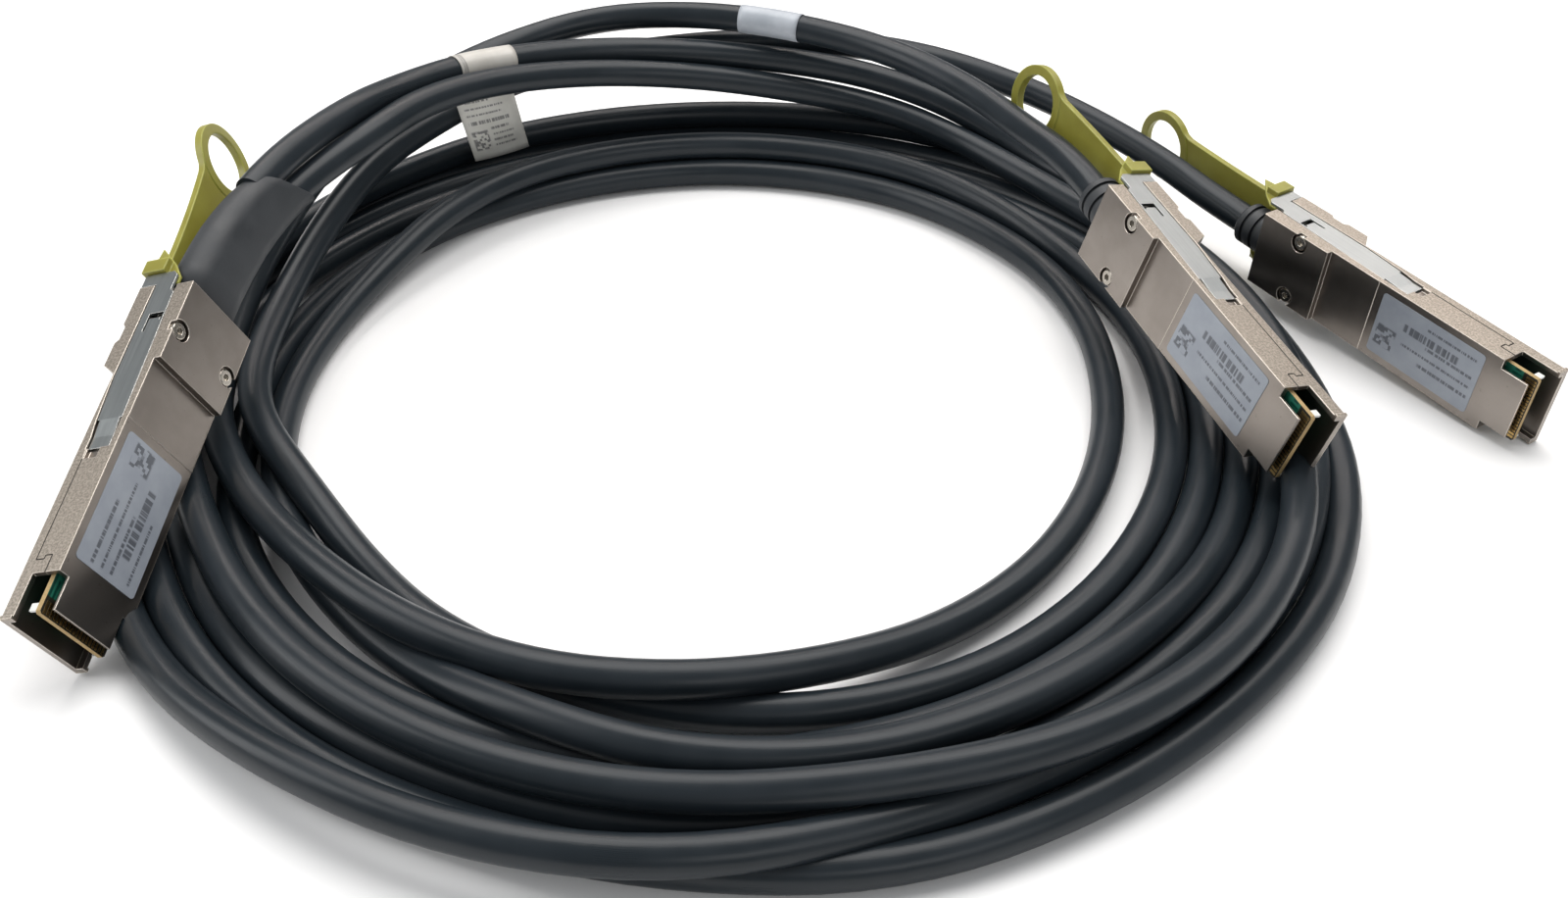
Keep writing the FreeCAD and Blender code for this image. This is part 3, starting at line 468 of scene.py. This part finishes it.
def own_coordinates(made, plug=None, stretch=(1, 1, 1)):
    """Object coordinates; with a plug, they are turned to lie along that plug."""
    place = add_node(made, "TexCoord").outputs["Object"]
    if plug:
        inputs = {0: place, "Location": plug_pose(plug).translation, "Rotation": plug_turn(plug)}
        place = add_node(made, "Mapping", inputs, vector_type="TEXTURE").outputs[0]
    return add_node(made, "Mapping", {0: place, "Scale": stretch}).outputs[0]


def noise(made, place, scale, detail=3.0, roughness=0.55):
    """Cloudy noise between 0 and 1."""
    inputs = {"Vector": place, "Scale": scale, "Detail": detail, "Roughness": roughness}
    return add_node(made, "TexNoise", inputs).outputs["Fac"]


def spread(made, value, low, high, out_low=0.0, out_high=1.0):
    """Moves a value from one range to another, softly, and clamps it."""
    inputs = {"Value": value, "From Min": low, "From Max": high, "To Min": out_low, "To Max": out_high}
    return add_node(made, "MapRange", inputs, interpolation_type="SMOOTHSTEP").outputs[0]


def sum_of(made, one, two, kind="ADD"):
    """One sum, product or comparison of two values."""
    return add_node(made, "Math", {0: one, 1: two}, operation=kind).outputs[0]


def two_colours(made, share, first, second):
    """The first colour where the share is 0 and the second where it is 1."""
    return add_node(made, "MixRGB", {"Fac": share, "Color1": first, "Color2": second}).outputs[0]


def relief(made, height, distance, strength=1.0, normal=None):
    """A bump of a given depth in metres."""
    inputs = {"Height": height, "Distance": distance, "Strength": strength}
    if normal is not None:
        inputs["Normal"] = normal
    return add_node(made, "Bump", inputs).outputs[0]


def feed(made, **sockets):
    """Links sockets to the shader's inputs, whose names have spaces instead of underscores."""
    shader = made.node_tree.nodes["Principled BSDF"]
    for name, socket in sockets.items():
        made.node_tree.links.new(socket, shader.inputs[name.replace("_", " ")])
    return made


def dress(name, material):
    """Gives a CAD node its finish."""
    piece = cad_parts[name]
    for slot in piece.material_slots:
        slot.material = material
    if not piece.material_slots:
        piece.data.materials.append(material)


def stands_for(piece, slot, *nodes):
    """A new piece takes the place of CAD nodes on the cable set."""
    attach(piece, "cable_set")
    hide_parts(*nodes)


print("helpers ready")

# %% [markdown]
# The jacket is black PVC with a little blue in it, wiped smooth by the die that drew it. Its
# gloss is soft and uneven: it is a bit duller where hands and drums rubbed it. Faint streaks run
# along it. The jacket has its own UV map, along and around, so the streaks follow the cable.

# %% Jacket finish
def jacket_finish():
    """Black jacket with clouds, streaks along it and a fine grain."""
    made = plain_material("slate_black_jacket", (0.012, 0.015, 0.019), 0.36)
    made.node_tree.nodes["Principled BSDF"].inputs["Specular IOR Level"].default_value = 0.28
    place = own_coordinates(made)
    along = add_node(made, "TexCoord").outputs["UV"]
    streak_place = add_node(made, "Mapping", {0: along, "Scale": (60, 90, 1)}).outputs[0]
    cloud = noise(made, place, 55, 3)
    streak = noise(made, streak_place, 1.0, 2)
    grain = noise(made, place, 2600, 2)
    dark, light = (0.0115, 0.0165, 0.021, 1), (0.0165, 0.022, 0.0275, 1)
    colour = two_colours(made, spread(made, cloud, 0.3, 0.7), dark, light)
    rough = sum_of(made, spread(made, cloud, 0.3, 0.75, 0.29, 0.38),
                   spread(made, streak, 0.35, 0.7, -0.02, 0.03))
    bumps = relief(made, grain, 0.00002, 0.35, relief(made, streak, 0.00003, 0.3))
    return feed(made, Base_Color=colour, Roughness=rough, Normal=bumps)


jacket = jacket_finish()
for cable in (cable_1, cable_2):
    cable.data.materials.append(jacket)
print("jacket:", len(jacket.node_tree.nodes), "nodes")

# %% [markdown]
# The shells are die-cast with satin nickel plating. Their broad faces are smooth, and their
# narrow sides are grainy. Every outer edge is painted brighter: a painted highlight where the
# rounded edges would catch the soft boxes. A Bevel node finds those edges without any change to
# the mesh: where its rounded normal differs from the true one, there is an edge. The line where
# the two shells meet is drawn on the narrow sides as a dark groove.

# %% Shell finish
def edge_highlight_share(made, radius, samples=6):
    """1 on a narrow strip along every sharp edge, where a painted highlight goes, and the rounded normal
    itself.
    """
    rounded = add_node(made, "Bevel", {"Radius": radius}, samples=samples).outputs[0]
    flat = add_node(made, "NewGeometry").outputs["Normal"]
    alike = add_node(made, "VectorMath", {0: rounded, 1: flat}, operation="DOT_PRODUCT").outputs["Value"]
    return spread(made, alike, 0.985, 0.85), rounded


def band(made, value, low, high, soft):
    """1 between two values, with soft sides."""
    rise = spread(made, value, low - soft, low + soft)
    fall = spread(made, value, high + soft, high - soft)
    return sum_of(made, rise, fall, "MULTIPLY")


def seam_share(made, parts):
    """1 on the hooked line where the two shells meet, on the plug's narrow sides."""
    x, z = parts.outputs[0], parts.outputs[2]
    runs = (((41.2, 62.6), (2.17, 2.43)), ((62.47, 62.73), (0.5, 2.36)), ((61.8, 62.6), (0.37, 0.63)),
            ((61.77, 62.03), (-1.0, 0.5)), ((61.9, 66.0), (-1.13, -0.87)))
    total = None
    for (x_low, x_high), (z_low, z_high) in runs:
        run = sum_of(made, band(made, x, x_low * mm, x_high * mm, 0.04 * mm),
                     band(made, z, z_low * mm, z_high * mm, 0.04 * mm), "MULTIPLY")
        total = run if total is None else sum_of(made, total, run, "MAXIMUM")
    return total


def shell_finish(plug):
    """Satin nickel: cloudy broad faces, grainy narrow sides, painted edge highlights and a dark seam."""
    made = plain_material(f"satin_nickel_{plug}", (0.33, 0.3, 0.27), 0.38)
    made.node_tree.nodes["Principled BSDF"].inputs["Metallic"].default_value = 1.0
    place = own_coordinates(made, plug)
    parts = add_node(made, "SeparateXYZ", {0: place})
    side = spread(made, sum_of(made, parts.outputs[1], 0.0, "ABSOLUTE"), 0.0088, 0.0091)
    cloud = spread(made, noise(made, place, 75, 4), 0.32, 0.68)
    grain = noise(made, place, 2300, 3, 0.65)
    speck = spread(made, noise(made, place, 1100, 2), 0.7, 0.78)
    edge, rounded = edge_highlight_share(made, 0.00028)
    face = two_colours(made, cloud, (0.25, 0.222, 0.198, 1), (0.31, 0.278, 0.25, 1))
    grains = spread(made, grain, 0.35, 0.65)
    sides = two_colours(made, grains, (0.26, 0.23, 0.195, 1), (0.44, 0.39, 0.335, 1))
    colour = two_colours(made, side, face, sides)
    colour = two_colours(made, sum_of(made, speck, 0.55, "MULTIPLY"), colour, (0.12, 0.105, 0.09, 1))
    # Painted highlight: every sharp edge is lightened towards a pale warm colour, as if it caught the boxes.
    colour = two_colours(made, edge, colour, (0.82, 0.75, 0.67, 1))
    rough = spread(made, sum_of(made, grain, side), 0.3, 1.6, 0.34, 0.5)
    seam = sum_of(made, seam_share(made, parts), side, "MULTIPLY")
    colour = two_colours(made, seam, colour, (0.02, 0.018, 0.015, 1))
    depth = sum_of(made, grain, spread(made, side, 0, 1, 0.35, 1.0), "MULTIPLY")
    depth = sum_of(made, depth, sum_of(made, seam, 2.0, "MULTIPLY"), "SUBTRACT")
    return feed(made, Base_Color=colour, Roughness=rough, Normal=relief(made, depth, 0.00005, 0.5, rounded))


for plug in plugs:
    nickel = shell_finish(plug)
    for shell in ("top_shell", "bottom_shell"):
        dress(f"{plug}_{shell}", nickel)
print("shells dressed")

# %% [markdown]
# The latch slider is stainless sheet. The sheet was rolled, so its faces carry fine straight
# lines along the arms; stretching a noise fiftyfold along the plug draws such lines. Its edges
# are painted brighter, a painted highlight.

# %% Slider, screw, spring and crimp finishes
def rolled_finish(name, plug, dark, light, roughness, edge_highlight_colour):
    """Rolled or drawn metal with fine lines along the plug and a painted highlight on its edges."""
    made = plain_material(name, light[:3], roughness)
    made.node_tree.nodes["Principled BSDF"].inputs["Metallic"].default_value = 1.0
    line = noise(made, own_coordinates(made, plug, (0.02, 1, 1)), 2600, 1)
    cloud = noise(made, own_coordinates(made, plug), 110, 3)
    edge, rounded = edge_highlight_share(made, 0.00012)
    colour = two_colours(made, spread(made, sum_of(made, line, cloud), 0.6, 1.4), dark, light)
    # Painted highlight: every sharp edge of the metal is lightened towards a pale colour.
    colour = two_colours(made, edge, colour, edge_highlight_colour)
    rough = spread(made, line, 0.2, 0.8, roughness - 0.03, roughness + 0.03)
    return feed(made, Base_Color=colour, Roughness=rough, Normal=relief(made, line, 0.000003, 0.3, rounded))


for plug in plugs:
    steel = rolled_finish(f"rolled_stainless_{plug}", plug, (0.33, 0.35, 0.352, 1),
                          (0.38, 0.4, 0.4, 1), 0.34, (0.85, 0.84, 0.8, 1))
    turned = rolled_finish(f"turned_steel_{plug}", plug, (0.34, 0.31, 0.27, 1),
                           (0.5, 0.47, 0.42, 1), 0.24, (0.9, 0.86, 0.78, 1))
    dress(f"{plug}_latch_slider", steel)
    for name in ("shell_screws", "return_springs", "cable_crimp"):
        dress(f"{plug}_{name}", turned)
print("metal pieces dressed")

# %% [markdown]
# The paddle card is a thin circuit board under green lacquer, with copper tracks that show
# through it as slightly raised, lighter lines. Its sawn edges have no lacquer: they are the
# straw colour of bare laminate. Which of the two shows depends on which way a face looks, so the
# face's normal is compared with the card's. The contacts, chip, posts and wires share one finish
# with clouds and a fine grain, each in its own colours.

# %% Card, contacts, chip, posts and wires
def card_finish(plug):
    """Green lacquer over copper tracks, bare laminate at the edges, black under the contacts."""
    made = plain_material(f"green_card_{plug}", (0.01, 0.1, 0.07), 0.32)
    place = own_coordinates(made, plug)
    parts = add_node(made, "SeparateXYZ", {0: place})
    track = add_node(made, "TexWave", {"Vector": place, "Scale": 330, "Distortion": 1.2, "Detail": 1},
                     bands_direction="Y").outputs["Fac"]
    pour = spread(made, noise(made, place, 260, 2), 0.48, 0.54)
    copper = sum_of(made, spread(made, track, 0.45, 0.6), pour, "MAXIMUM")
    up = Vector((0, 0, 1))
    up.rotate(plug_turn(plug))
    flat = add_node(made, "NewGeometry").outputs["Normal"]
    facing = add_node(made, "VectorMath", {0: flat, 1: tuple(up)}, operation="DOT_PRODUCT").outputs["Value"]
    sawn = spread(made, sum_of(made, facing, 0.0, "ABSOLUTE"), 0.8, 0.5)
    fibre = noise(made, place, 1800, 2)
    straw = two_colours(made, fibre, (0.30, 0.2, 0.08, 1), (0.5, 0.36, 0.17, 1))
    green = two_colours(made, copper, (0.004, 0.05, 0.035, 1), (0.02, 0.15, 0.1, 1))
    gold_zone = spread(made, parts.outputs[0], 0.0692, 0.0695)
    green = two_colours(made, gold_zone, green, (0.02, 0.018, 0.012, 1))
    colour = two_colours(made, sawn, green, straw)
    rough = spread(made, sawn, 0, 1, 0.3, 0.75)
    return feed(made, Base_Color=colour, Roughness=rough, Normal=relief(made, copper, 0.00003, 0.5))


def grained_finish(name, dark, light, roughness, scale, depth, metallic=0.0):
    """A moulded or plated surface with clouds and a fine grain."""
    made = plain_material(name, light[:3], roughness)
    made.node_tree.nodes["Principled BSDF"].inputs["Metallic"].default_value = metallic
    place = own_coordinates(made)
    cloud = spread(made, noise(made, place, scale / 12, 3), 0.3, 0.7)
    grain = noise(made, place, scale, 2)
    rough = spread(made, sum_of(made, cloud, grain), 0.4, 1.4, roughness - 0.05, roughness + 0.06)
    colour = two_colours(made, cloud, dark, light)
    return feed(made, Base_Color=colour, Roughness=rough, Normal=relief(made, grain, depth, 0.5))


small_finishes = {
    "edge_contacts": grained_finish("gold_plate", (0.5, 0.33, 0.12, 1), (0.66, 0.46, 0.2, 1),
                                    0.3, 2200, 0.00001, 1.0),
    "memory_chip": grained_finish("black_package", (0.012, 0.012, 0.014, 1), (0.025, 0.025, 0.028, 1),
                                  0.55, 3000, 0.00002),
    "card_posts": grained_finish("white_plastic", (0.62, 0.64, 0.62, 1), (0.74, 0.75, 0.72, 1),
                                 0.42, 1500, 0.00002),
    "wire_pairs": grained_finish("screening_foil", (0.42, 0.43, 0.45, 1), (0.62, 0.63, 0.65, 1),
                                 0.28, 1400, 0.00006, 1.0),
}
for plug in plugs:
    dress(f"{plug}_paddle_card", card_finish(plug))
    for name, finish in small_finishes.items():
        dress(f"{plug}_{name}", finish)
print("cards dressed")

# %% [markdown]
# Grips are soft black PVC, moulded over the cable: duller than the jacket, with a fine grain.
# Pull tabs are a tough olive plastic that lets a little light in. Their thin rims are painted
# lighter and greener than the flat strap, a painted highlight for the light that shows through.

# %% Grips and pull tabs
grip = grained_finish("black_grip", (0.02, 0.0235, 0.0275, 1), (0.028, 0.032, 0.0365, 1),
                      0.55, 1700, 0.00003)


def tab_finish():
    """Olive plastic that lets a little light in, with rims painted lighter as a painted highlight."""
    made = plain_material("olive_plastic", (0.3, 0.29, 0.05), 0.36)
    shader = made.node_tree.nodes["Principled BSDF"]
    shader.inputs["Subsurface Weight"].default_value = 0.25
    shader.inputs["Subsurface Radius"].default_value = (1.0, 1.0, 0.25)
    shader.inputs["Subsurface Scale"].default_value = 0.0009
    place = own_coordinates(made)
    cloud = spread(made, noise(made, place, 95, 4), 0.3, 0.7)
    grain = noise(made, place, 1900, 2)
    edge, rounded = edge_highlight_share(made, 0.0005)
    colour = two_colours(made, cloud, (0.235, 0.215, 0.03, 1), (0.285, 0.27, 0.045, 1))
    # Painted highlight: the rims are lightened and made greener, standing for light that shows through them.
    colour = two_colours(made, edge, colour, (0.4, 0.41, 0.09, 1))
    rough = spread(made, sum_of(made, cloud, grain), 0.4, 1.4, 0.33, 0.44)
    return feed(made, Base_Color=colour, Roughness=rough, Normal=relief(made, grain, 0.00003, 0.5, rounded))


olive = tab_finish()
for plug in plugs:
    if plug != "trunk":
        dress(f"{plug}_cable_grip", grip)
    dress(f"{plug}_pull_tab", olive)
print("grips and tabs dressed")

# %% [markdown]
# Behind the trunk plug both cables share one soft sleeve, shrunk on while it was warm. It bends
# with the cables, and its end is sloped, because the cables turn away before it ends. One flat
# oval is drawn, and its edges are extruded from place to place behind the plug. The last
# extrusions round the rim and turn it inwards, so that the end reads as a wall and not as a
# solid block.

# %% Sleeve over the two cables
sleeve_width, sleeve_height = 15.2, 9.0
sleeve_places = [Vector(place) for place in (
    (-0.8, 0, 0.8), (-8, -0.1, 0.75), (-15, -0.5, 0.6), (-21, -1.1, 0.4), (-26, -1.9, 0.1),
    (-30.5, -2.8, -0.2), (-34.5, -3.8, -0.5), (-38, -4.8, -0.8), (-40.5, -5.7, -1.0))]
end_slope = 0.11        # how much further the rim reaches on one side, added at each place
bm = bmesh.new()
upright = Matrix.Rotation(math.radians(90), 4, "Y")
bmesh.ops.create_circle(bm, segments=48, radius=sleeve_height / 2, matrix=upright)
for sign in (-1, 1):
    half = [vert for vert in bm.verts if vert.co.y * sign > 1e-6]
    bmesh.ops.translate(bm, vec=(0, sign * (sleeve_width - sleeve_height) / 2, 0), verts=half)
bmesh.ops.translate(bm, vec=sleeve_places[0], verts=bm.verts)
rim = bm.edges[:]


def pull_rim(bm, rim, step=(0, 0, 0), swing=0.0, size=1.0, slope=0.0):
    """Extrudes a rim, then moves, swings, scales and slopes the new one."""
    grown = bmesh.ops.extrude_edge_only(bm, edges=rim)["geom"]
    verts = [part for part in grown if isinstance(part, bmesh.types.BMVert)]
    bmesh.ops.translate(bm, vec=step, verts=verts)
    centre = sum((vert.co for vert in verts), Vector()) / len(verts)
    bmesh.ops.rotate(bm, cent=centre, matrix=Matrix.Rotation(swing, 3, "Z"), verts=verts)
    for vert in verts:
        vert.co = centre + (vert.co - centre) * size
        vert.co.x += slope * (vert.co.y - centre.y)
    return [part for part in grown if isinstance(part, bmesh.types.BMEdge)]


heading = 0.0
for here, there in zip(sleeve_places, sleeve_places[1:]):
    step = there - here
    turned = math.atan2(-step.y, -step.x)
    rim = pull_rim(bm, rim, step, turned - heading, slope=end_slope)
    heading = turned
rim = pull_rim(bm, rim, (-0.25, -0.1, 0), size=0.975)
rim = pull_rim(bm, rim, size=0.9)
rim = pull_rim(bm, rim, (1.2, 0.4, 0), size=0.98)
bmesh.ops.contextual_create(bm, geom=rim)
bmesh.ops.contextual_create(bm, geom=[edge for edge in bm.edges if edge.is_boundary])
bmesh.ops.transform(bm, matrix=plug_pose("trunk") @ Matrix.Scale(mm, 4), verts=bm.verts)
bmesh.ops.recalc_face_normals(bm, faces=bm.faces)
for face in bm.faces:
    face.smooth = len(face.verts) == 4
trunk_sleeve = mesh_object("trunk_cable_sleeve", bm, grip)
stands_for(trunk_sleeve, "grip", "trunk_cable_grip")
print("sleeve:", len(trunk_sleeve.data.polygons), "faces")

# %% [markdown]
# Every label is a printed film. Its print is generic: a mottled block and rows of broken bars,
# each given by its place in millimetres. The UV map of a label runs from 0 to 1 along and across
# it, and its size turns that map into millimetres.

# %% Printed film
def print_finish(name, paper, shade, ink, block, rows, size):
    """A printed film: a mottled block and rows of broken bars, laid out in millimetres."""
    made = plain_material(name, paper[:3], 0.34)
    uv = add_node(made, "SeparateXYZ", {0: add_node(made, "TexCoord").outputs["UV"]})
    u = sum_of(made, uv.outputs[0], size[0], "MULTIPLY")
    v = sum_of(made, uv.outputs[1], size[1], "MULTIPLY")
    place = add_node(made, "CombineXYZ", {0: u, 1: v}).outputs[0]
    cells = add_node(made, "TexVoronoi", {"Vector": place, "Scale": 1.5, "Randomness": 0.35})
    mottle = spread(made, add_node(made, "SeparateColor", {0: cells.outputs["Color"]}).outputs[0], 0.4, 0.62)
    left, right, low, high = block
    printed = sum_of(made, band(made, u, left, right, 0.3), band(made, v, low, high, 0.3), "MULTIPLY")
    printed = sum_of(made, printed, mottle, "MULTIPLY")
    for index, (left, right, low, high, pitch) in enumerate(rows):
        bars = sum_of(made, u, pitch, "MULTIPLY")
        row_place = add_node(made, "CombineXYZ", {0: bars, 1: float(index * 7)}).outputs[0]
        broken = spread(made, noise(made, row_place, 1.0, 1), 0.4, 0.52)
        row = sum_of(made, band(made, u, left, right, 0.3), band(made, v, low, high, 0.14), "MULTIPLY")
        printed = sum_of(made, printed, sum_of(made, row, broken, "MULTIPLY"), "MAXIMUM")
    cloud = spread(made, noise(made, place, 0.16, 3), 0.3, 0.7)
    colour = two_colours(made, cloud, shade, paper)
    colour = two_colours(made, sum_of(made, printed, 0.8, "MULTIPLY"), colour, ink)
    fibre = noise(made, place, 9, 2)
    rough = spread(made, fibre, 0.3, 0.7, 0.3, 0.42)
    return feed(made, Base_Color=colour, Roughness=rough, Normal=relief(made, fibre, 0.00001, 0.3))


plate_size = (27.0, 15.0)
plate_block = (0.9, 6.0, 7.4, 12.4)
plate_rows = (
    (7.2, 21.4, 4.0, 5.9, 1.25), (13.6, 25.8, 6.3, 7.0, 1.6), (7.8, 25.8, 8.7, 9.3, 2.3),
    (13.0, 26.0, 11.0, 11.8, 2.0), (12.6, 25.4, 2.0, 2.6, 2.6))
film = print_finish("printed_film", (0.33, 0.36, 0.405, 1), (0.285, 0.313, 0.36, 1),
                    (0.05, 0.055, 0.068, 1), plate_block, plate_rows, plate_size)
print("film print:", len(film.node_tree.nodes), "nodes")

# %% [markdown]
# A rating plate is such a film, 27 by 15 mm, stuck to the flat side of each plug: one thin slab
# with rounded corners, made from a grid that is bevelled at its corners and thickened.

# %% Rating plates
def rounded_slab(name, size, thick, corner, at, pose, material):
    """A thin slab with rounded corners, its UV map along and across it."""
    bm = bmesh.new()
    bmesh.ops.create_grid(bm, x_segments=12, y_segments=6, size=0.5)
    uv_layer = bm.loops.layers.uv.verify()
    bmesh.ops.scale(bm, vec=(size[0], size[1], 1), verts=bm.verts)
    corners = [v for v in bm.verts if len(v.link_edges) == 2]
    bmesh.ops.bevel(bm, geom=corners, offset=corner, affect="VERTICES", segments=4, profile=0.5, material=-1)
    for face in bm.faces:
        for loop in face.loops:
            loop[uv_layer].uv = (loop.vert.co.x / size[0] + 0.5, loop.vert.co.y / size[1] + 0.5)
    bmesh.ops.solidify(bm, geom=bm.faces[:], thickness=thick)
    bmesh.ops.translate(bm, vec=at, verts=bm.verts)
    bmesh.ops.transform(bm, matrix=pose, verts=bm.verts)
    bmesh.ops.recalc_face_normals(bm, faces=bm.faces)
    return mesh_object(name, bm, material)


plate_sides = [side * mm for side in plate_size]
plate_middle = Vector((48.1, 0, -4.25)) * mm
plate_thickness = 0.1 * mm
plate_corner = 0.8 * mm
for plug in plugs:
    plate = rounded_slab(f"{plug}_rating_plate", plate_sides, plate_thickness, plate_corner,
                         plate_middle, plug_pose(plug), film)
    stands_for(plate, "label", f"{plug}_rating_label")
print("rating plates laid")

# %% [markdown]
# Two labels sit on the loose leads: a plain pale sleeve on the way to the first branch plug, and
# a doubled flag that was folded round the trunk's lead. A sleeve must follow its cable exactly,
# so it is made from the spline's own points: one ring of edges is extruded from point to point
# and turned each time into the cable's new direction. Its UV map takes each corner's step along
# the cable and its angle round it.

# %% Sleeves round the cables
def run_near(line, place, length, steps):
    """Even steps along a line, centred on its point nearest to a place."""
    nearest = min(range(len(line)), key=lambda index: (line[index] - place).length)
    reach = [0.0]
    for a, b in zip(line, line[1:]):
        reach.append(reach[-1] + (b - a).length)
    wanted = [reach[nearest] + length * (step / steps - 0.5) for step in range(steps + 1)]
    axes = [[point[axis] for point in line] for axis in range(3)]
    return [Vector([np.interp(at, reach, axis) for axis in axes]) for at in wanted]


def sleeve_round(name, run, radius, thick, material):
    """A thin tube that follows a run of points, with its UV map along and around."""
    ways = [(b - a).normalized() for a, b in zip(run, run[1:])]
    ways.append(ways[-1])
    bm = bmesh.new()
    turned = ways[0].to_track_quat("Z", "Y").to_matrix().to_4x4()
    start_pose = Matrix.Translation(run[0]) @ turned
    ring = bmesh.ops.create_circle(bm, segments=40, radius=radius, matrix=start_pose)
    edges = list({edge for vert in ring["verts"] for edge in vert.link_edges})
    for (here, there), (way, new_way) in zip(zip(run, run[1:]), zip(ways, ways[1:])):
        grown = bmesh.ops.extrude_edge_only(bm, edges=edges)["geom"]
        edges = [part for part in grown if isinstance(part, bmesh.types.BMEdge)]
        verts = [part for part in grown if isinstance(part, bmesh.types.BMVert)]
        bmesh.ops.translate(bm, vec=there - here, verts=verts)
        swing = way.rotation_difference(new_way).to_matrix()
        bmesh.ops.rotate(bm, cent=there, matrix=swing, verts=verts)
    uv_layer = bm.loops.layers.uv.verify()
    across = turned.to_3x3().inverted()
    for face in bm.faces:
        nearest = min(range(len(run)), key=lambda index: (run[index] - face.calc_center_median()).length)
        start = None
        for loop in face.loops:
            spot = min(range(len(run)), key=lambda index: (run[index] - loop.vert.co).length)
            side = across @ (loop.vert.co - run[nearest])
            around = math.atan2(side.y, side.x) / (2 * math.pi)
            start = around if start is None else start
            loop[uv_layer].uv = (spot / (len(run) - 1), around - round(around - start))
    bmesh.ops.recalc_face_normals(bm, faces=bm.faces)
    bmesh.ops.solidify(bm, geom=bm.faces[:], thickness=-thick)
    for face in bm.faces:
        face.smooth = True
    return mesh_object(name, bm, material)


label_length = 16.8
label_steps = 14
label_radius = 3.56 * mm
label_thickness = 0.14 * mm
label_size = (label_length, math.pi * 7.4)   # along the cable and round it
no_block = (-9, -8, 0, 1)            # a place off the label
pale_film = print_finish("pale_sleeve_film", (0.42, 0.45, 0.49, 1), (0.34, 0.37, 0.41, 1),
                         (0.3, 0.33, 0.37, 1), no_block, (), label_size)
flag_film = print_finish("flag_sleeve_film", (0.55, 0.53, 0.49, 1), (0.48, 0.46, 0.42, 1),
                         (0.12, 0.115, 0.11, 1), no_block, ((0.7, 1.9, -12.0, 12.0, 5.0),), label_size)
lead_share = len(line_1) // 7       # the part of the line that is surely a lead
wrap_run = run_near(line_1[-lead_share:], coil_point(82.5, 115.7, 38.8), label_length * mm, label_steps)
flag_run = run_near(line_1[:lead_share], coil_point(123.0, 107.6, 38.9), label_length * mm, label_steps)
branch_sleeve = sleeve_round("branch_sleeve_label", wrap_run, label_radius, label_thickness, pale_film)
flag_sleeve = sleeve_round("flag_label_sleeve", flag_run, label_radius, label_thickness, flag_film)
for sleeve, node in ((branch_sleeve, "wrap_label"), (flag_sleeve, "flag_label")):
    stands_for(sleeve, "label", node)
    print(sleeve.name, len(sleeve.data.polygons), "faces")

# %% [markdown]
# The flag itself is two layers of film glued back to back. It hangs from the outer side of the
# cable and leans, because the cable was turned after it was folded on. A grid is sheared to lean
# and bowed a little, since film keeps some of the curl of its roll.

# %% Hanging flag
flag_size = (17.6, 26.5)
flag_lean = 4.6 * mm
flag_curl = 1.1 * mm
flag_bow = 0.5 * mm         # how far it bends over at half its width
flag_half = 8 * mm
flag_thickness = 0.16 * mm
flag_reach = 2.9 * mm       # from the middle of the cable to its outer side
flag_block = (1.4, 6.2, 2.6, 7.8)
flag_rows = (
    (7.4, 14.2, 3.0, 3.5, 2.4), (7.4, 13.6, 4.4, 5.0, 2.2), (7.6, 14.2, 6.0, 6.5, 2.6),
    (7.4, 13.0, 7.6, 8.3, 1.6), (1.6, 14.0, 9.6, 10.6, 1.3), (1.6, 12.0, 12.0, 12.5, 2.3),
    (1.6, 13.2, 13.8, 14.3, 2.4), (2.0, 9.0, 15.6, 17.0, 1.4), (1.6, 13.0, 18.6, 19.1, 2.2))
flag_print = print_finish("flag_film", (0.74, 0.73, 0.68, 1), (0.65, 0.64, 0.59, 1),
                          (0.09, 0.09, 0.095, 1), flag_block, flag_rows, flag_size)
bm = bmesh.new()
bmesh.ops.create_grid(bm, x_segments=10, y_segments=16, size=0.5)
uv_layer = bm.loops.layers.uv.verify()
for face in bm.faces:
    for loop in face.loops:
        loop[uv_layer].uv = (loop.vert.co.x + 0.5, loop.vert.co.y + 0.5)
bmesh.ops.scale(bm, vec=(flag_size[0] * mm, flag_size[1] * mm, 1), verts=bm.verts)
bmesh.ops.translate(bm, vec=(0, -flag_size[1] / 2 * mm, 0), verts=bm.verts)
for vert in bm.verts:
    fall = -vert.co.y / (flag_size[1] * mm)
    vert.co.x += flag_lean * fall
    vert.co.z = flag_curl * fall ** 2 - flag_bow * (vert.co.x / flag_half) ** 2
bmesh.ops.solidify(bm, geom=bm.faces[:], thickness=flag_thickness)
along = (flag_run[-1] - flag_run[0]).normalized()
outwards = Vector((0, 0, 1)).cross(along).normalized()
hang = Matrix((along, (0, 0, 1), -outwards)).transposed().to_4x4()
middle_point = flag_run[len(flag_run) // 2]
outer_side = middle_point + outwards * flag_reach
bmesh.ops.transform(bm, matrix=Matrix.Translation(outer_side) @ hang, verts=bm.verts)
bmesh.ops.recalc_face_normals(bm, faces=bm.faces)
for face in bm.faces:
    face.smooth = True
hanging_flag = mesh_object("hanging_flag", bm, flag_print)
stands_for(hanging_flag, "label", "flag_label")
print("flag hangs from", tuple(round(v, 4) for v in middle_point))

# %% [markdown]
# The two cables are attached to the cable set last, when the labels on them exist, and the CAD
# nodes they stand for are hidden. Each is listed with a length and the labels it carries, and
# only the number of labels is printed.

labels_1 = [flag_sleeve, hanging_flag, branch_sleeve]
for cable, points, length, nodes, carried in (
    (cable_1, points_1, 3.09, ("trunk_lead_1", "branch1_lead", "coil"), labels_1),
    (cable_2, points_2, 3.14, ("trunk_lead_2", "branch2_lead"), []),
):
    stands_for(cable, "cable", *nodes)
    print(cable.name, "declared with", len(carried), "labels")
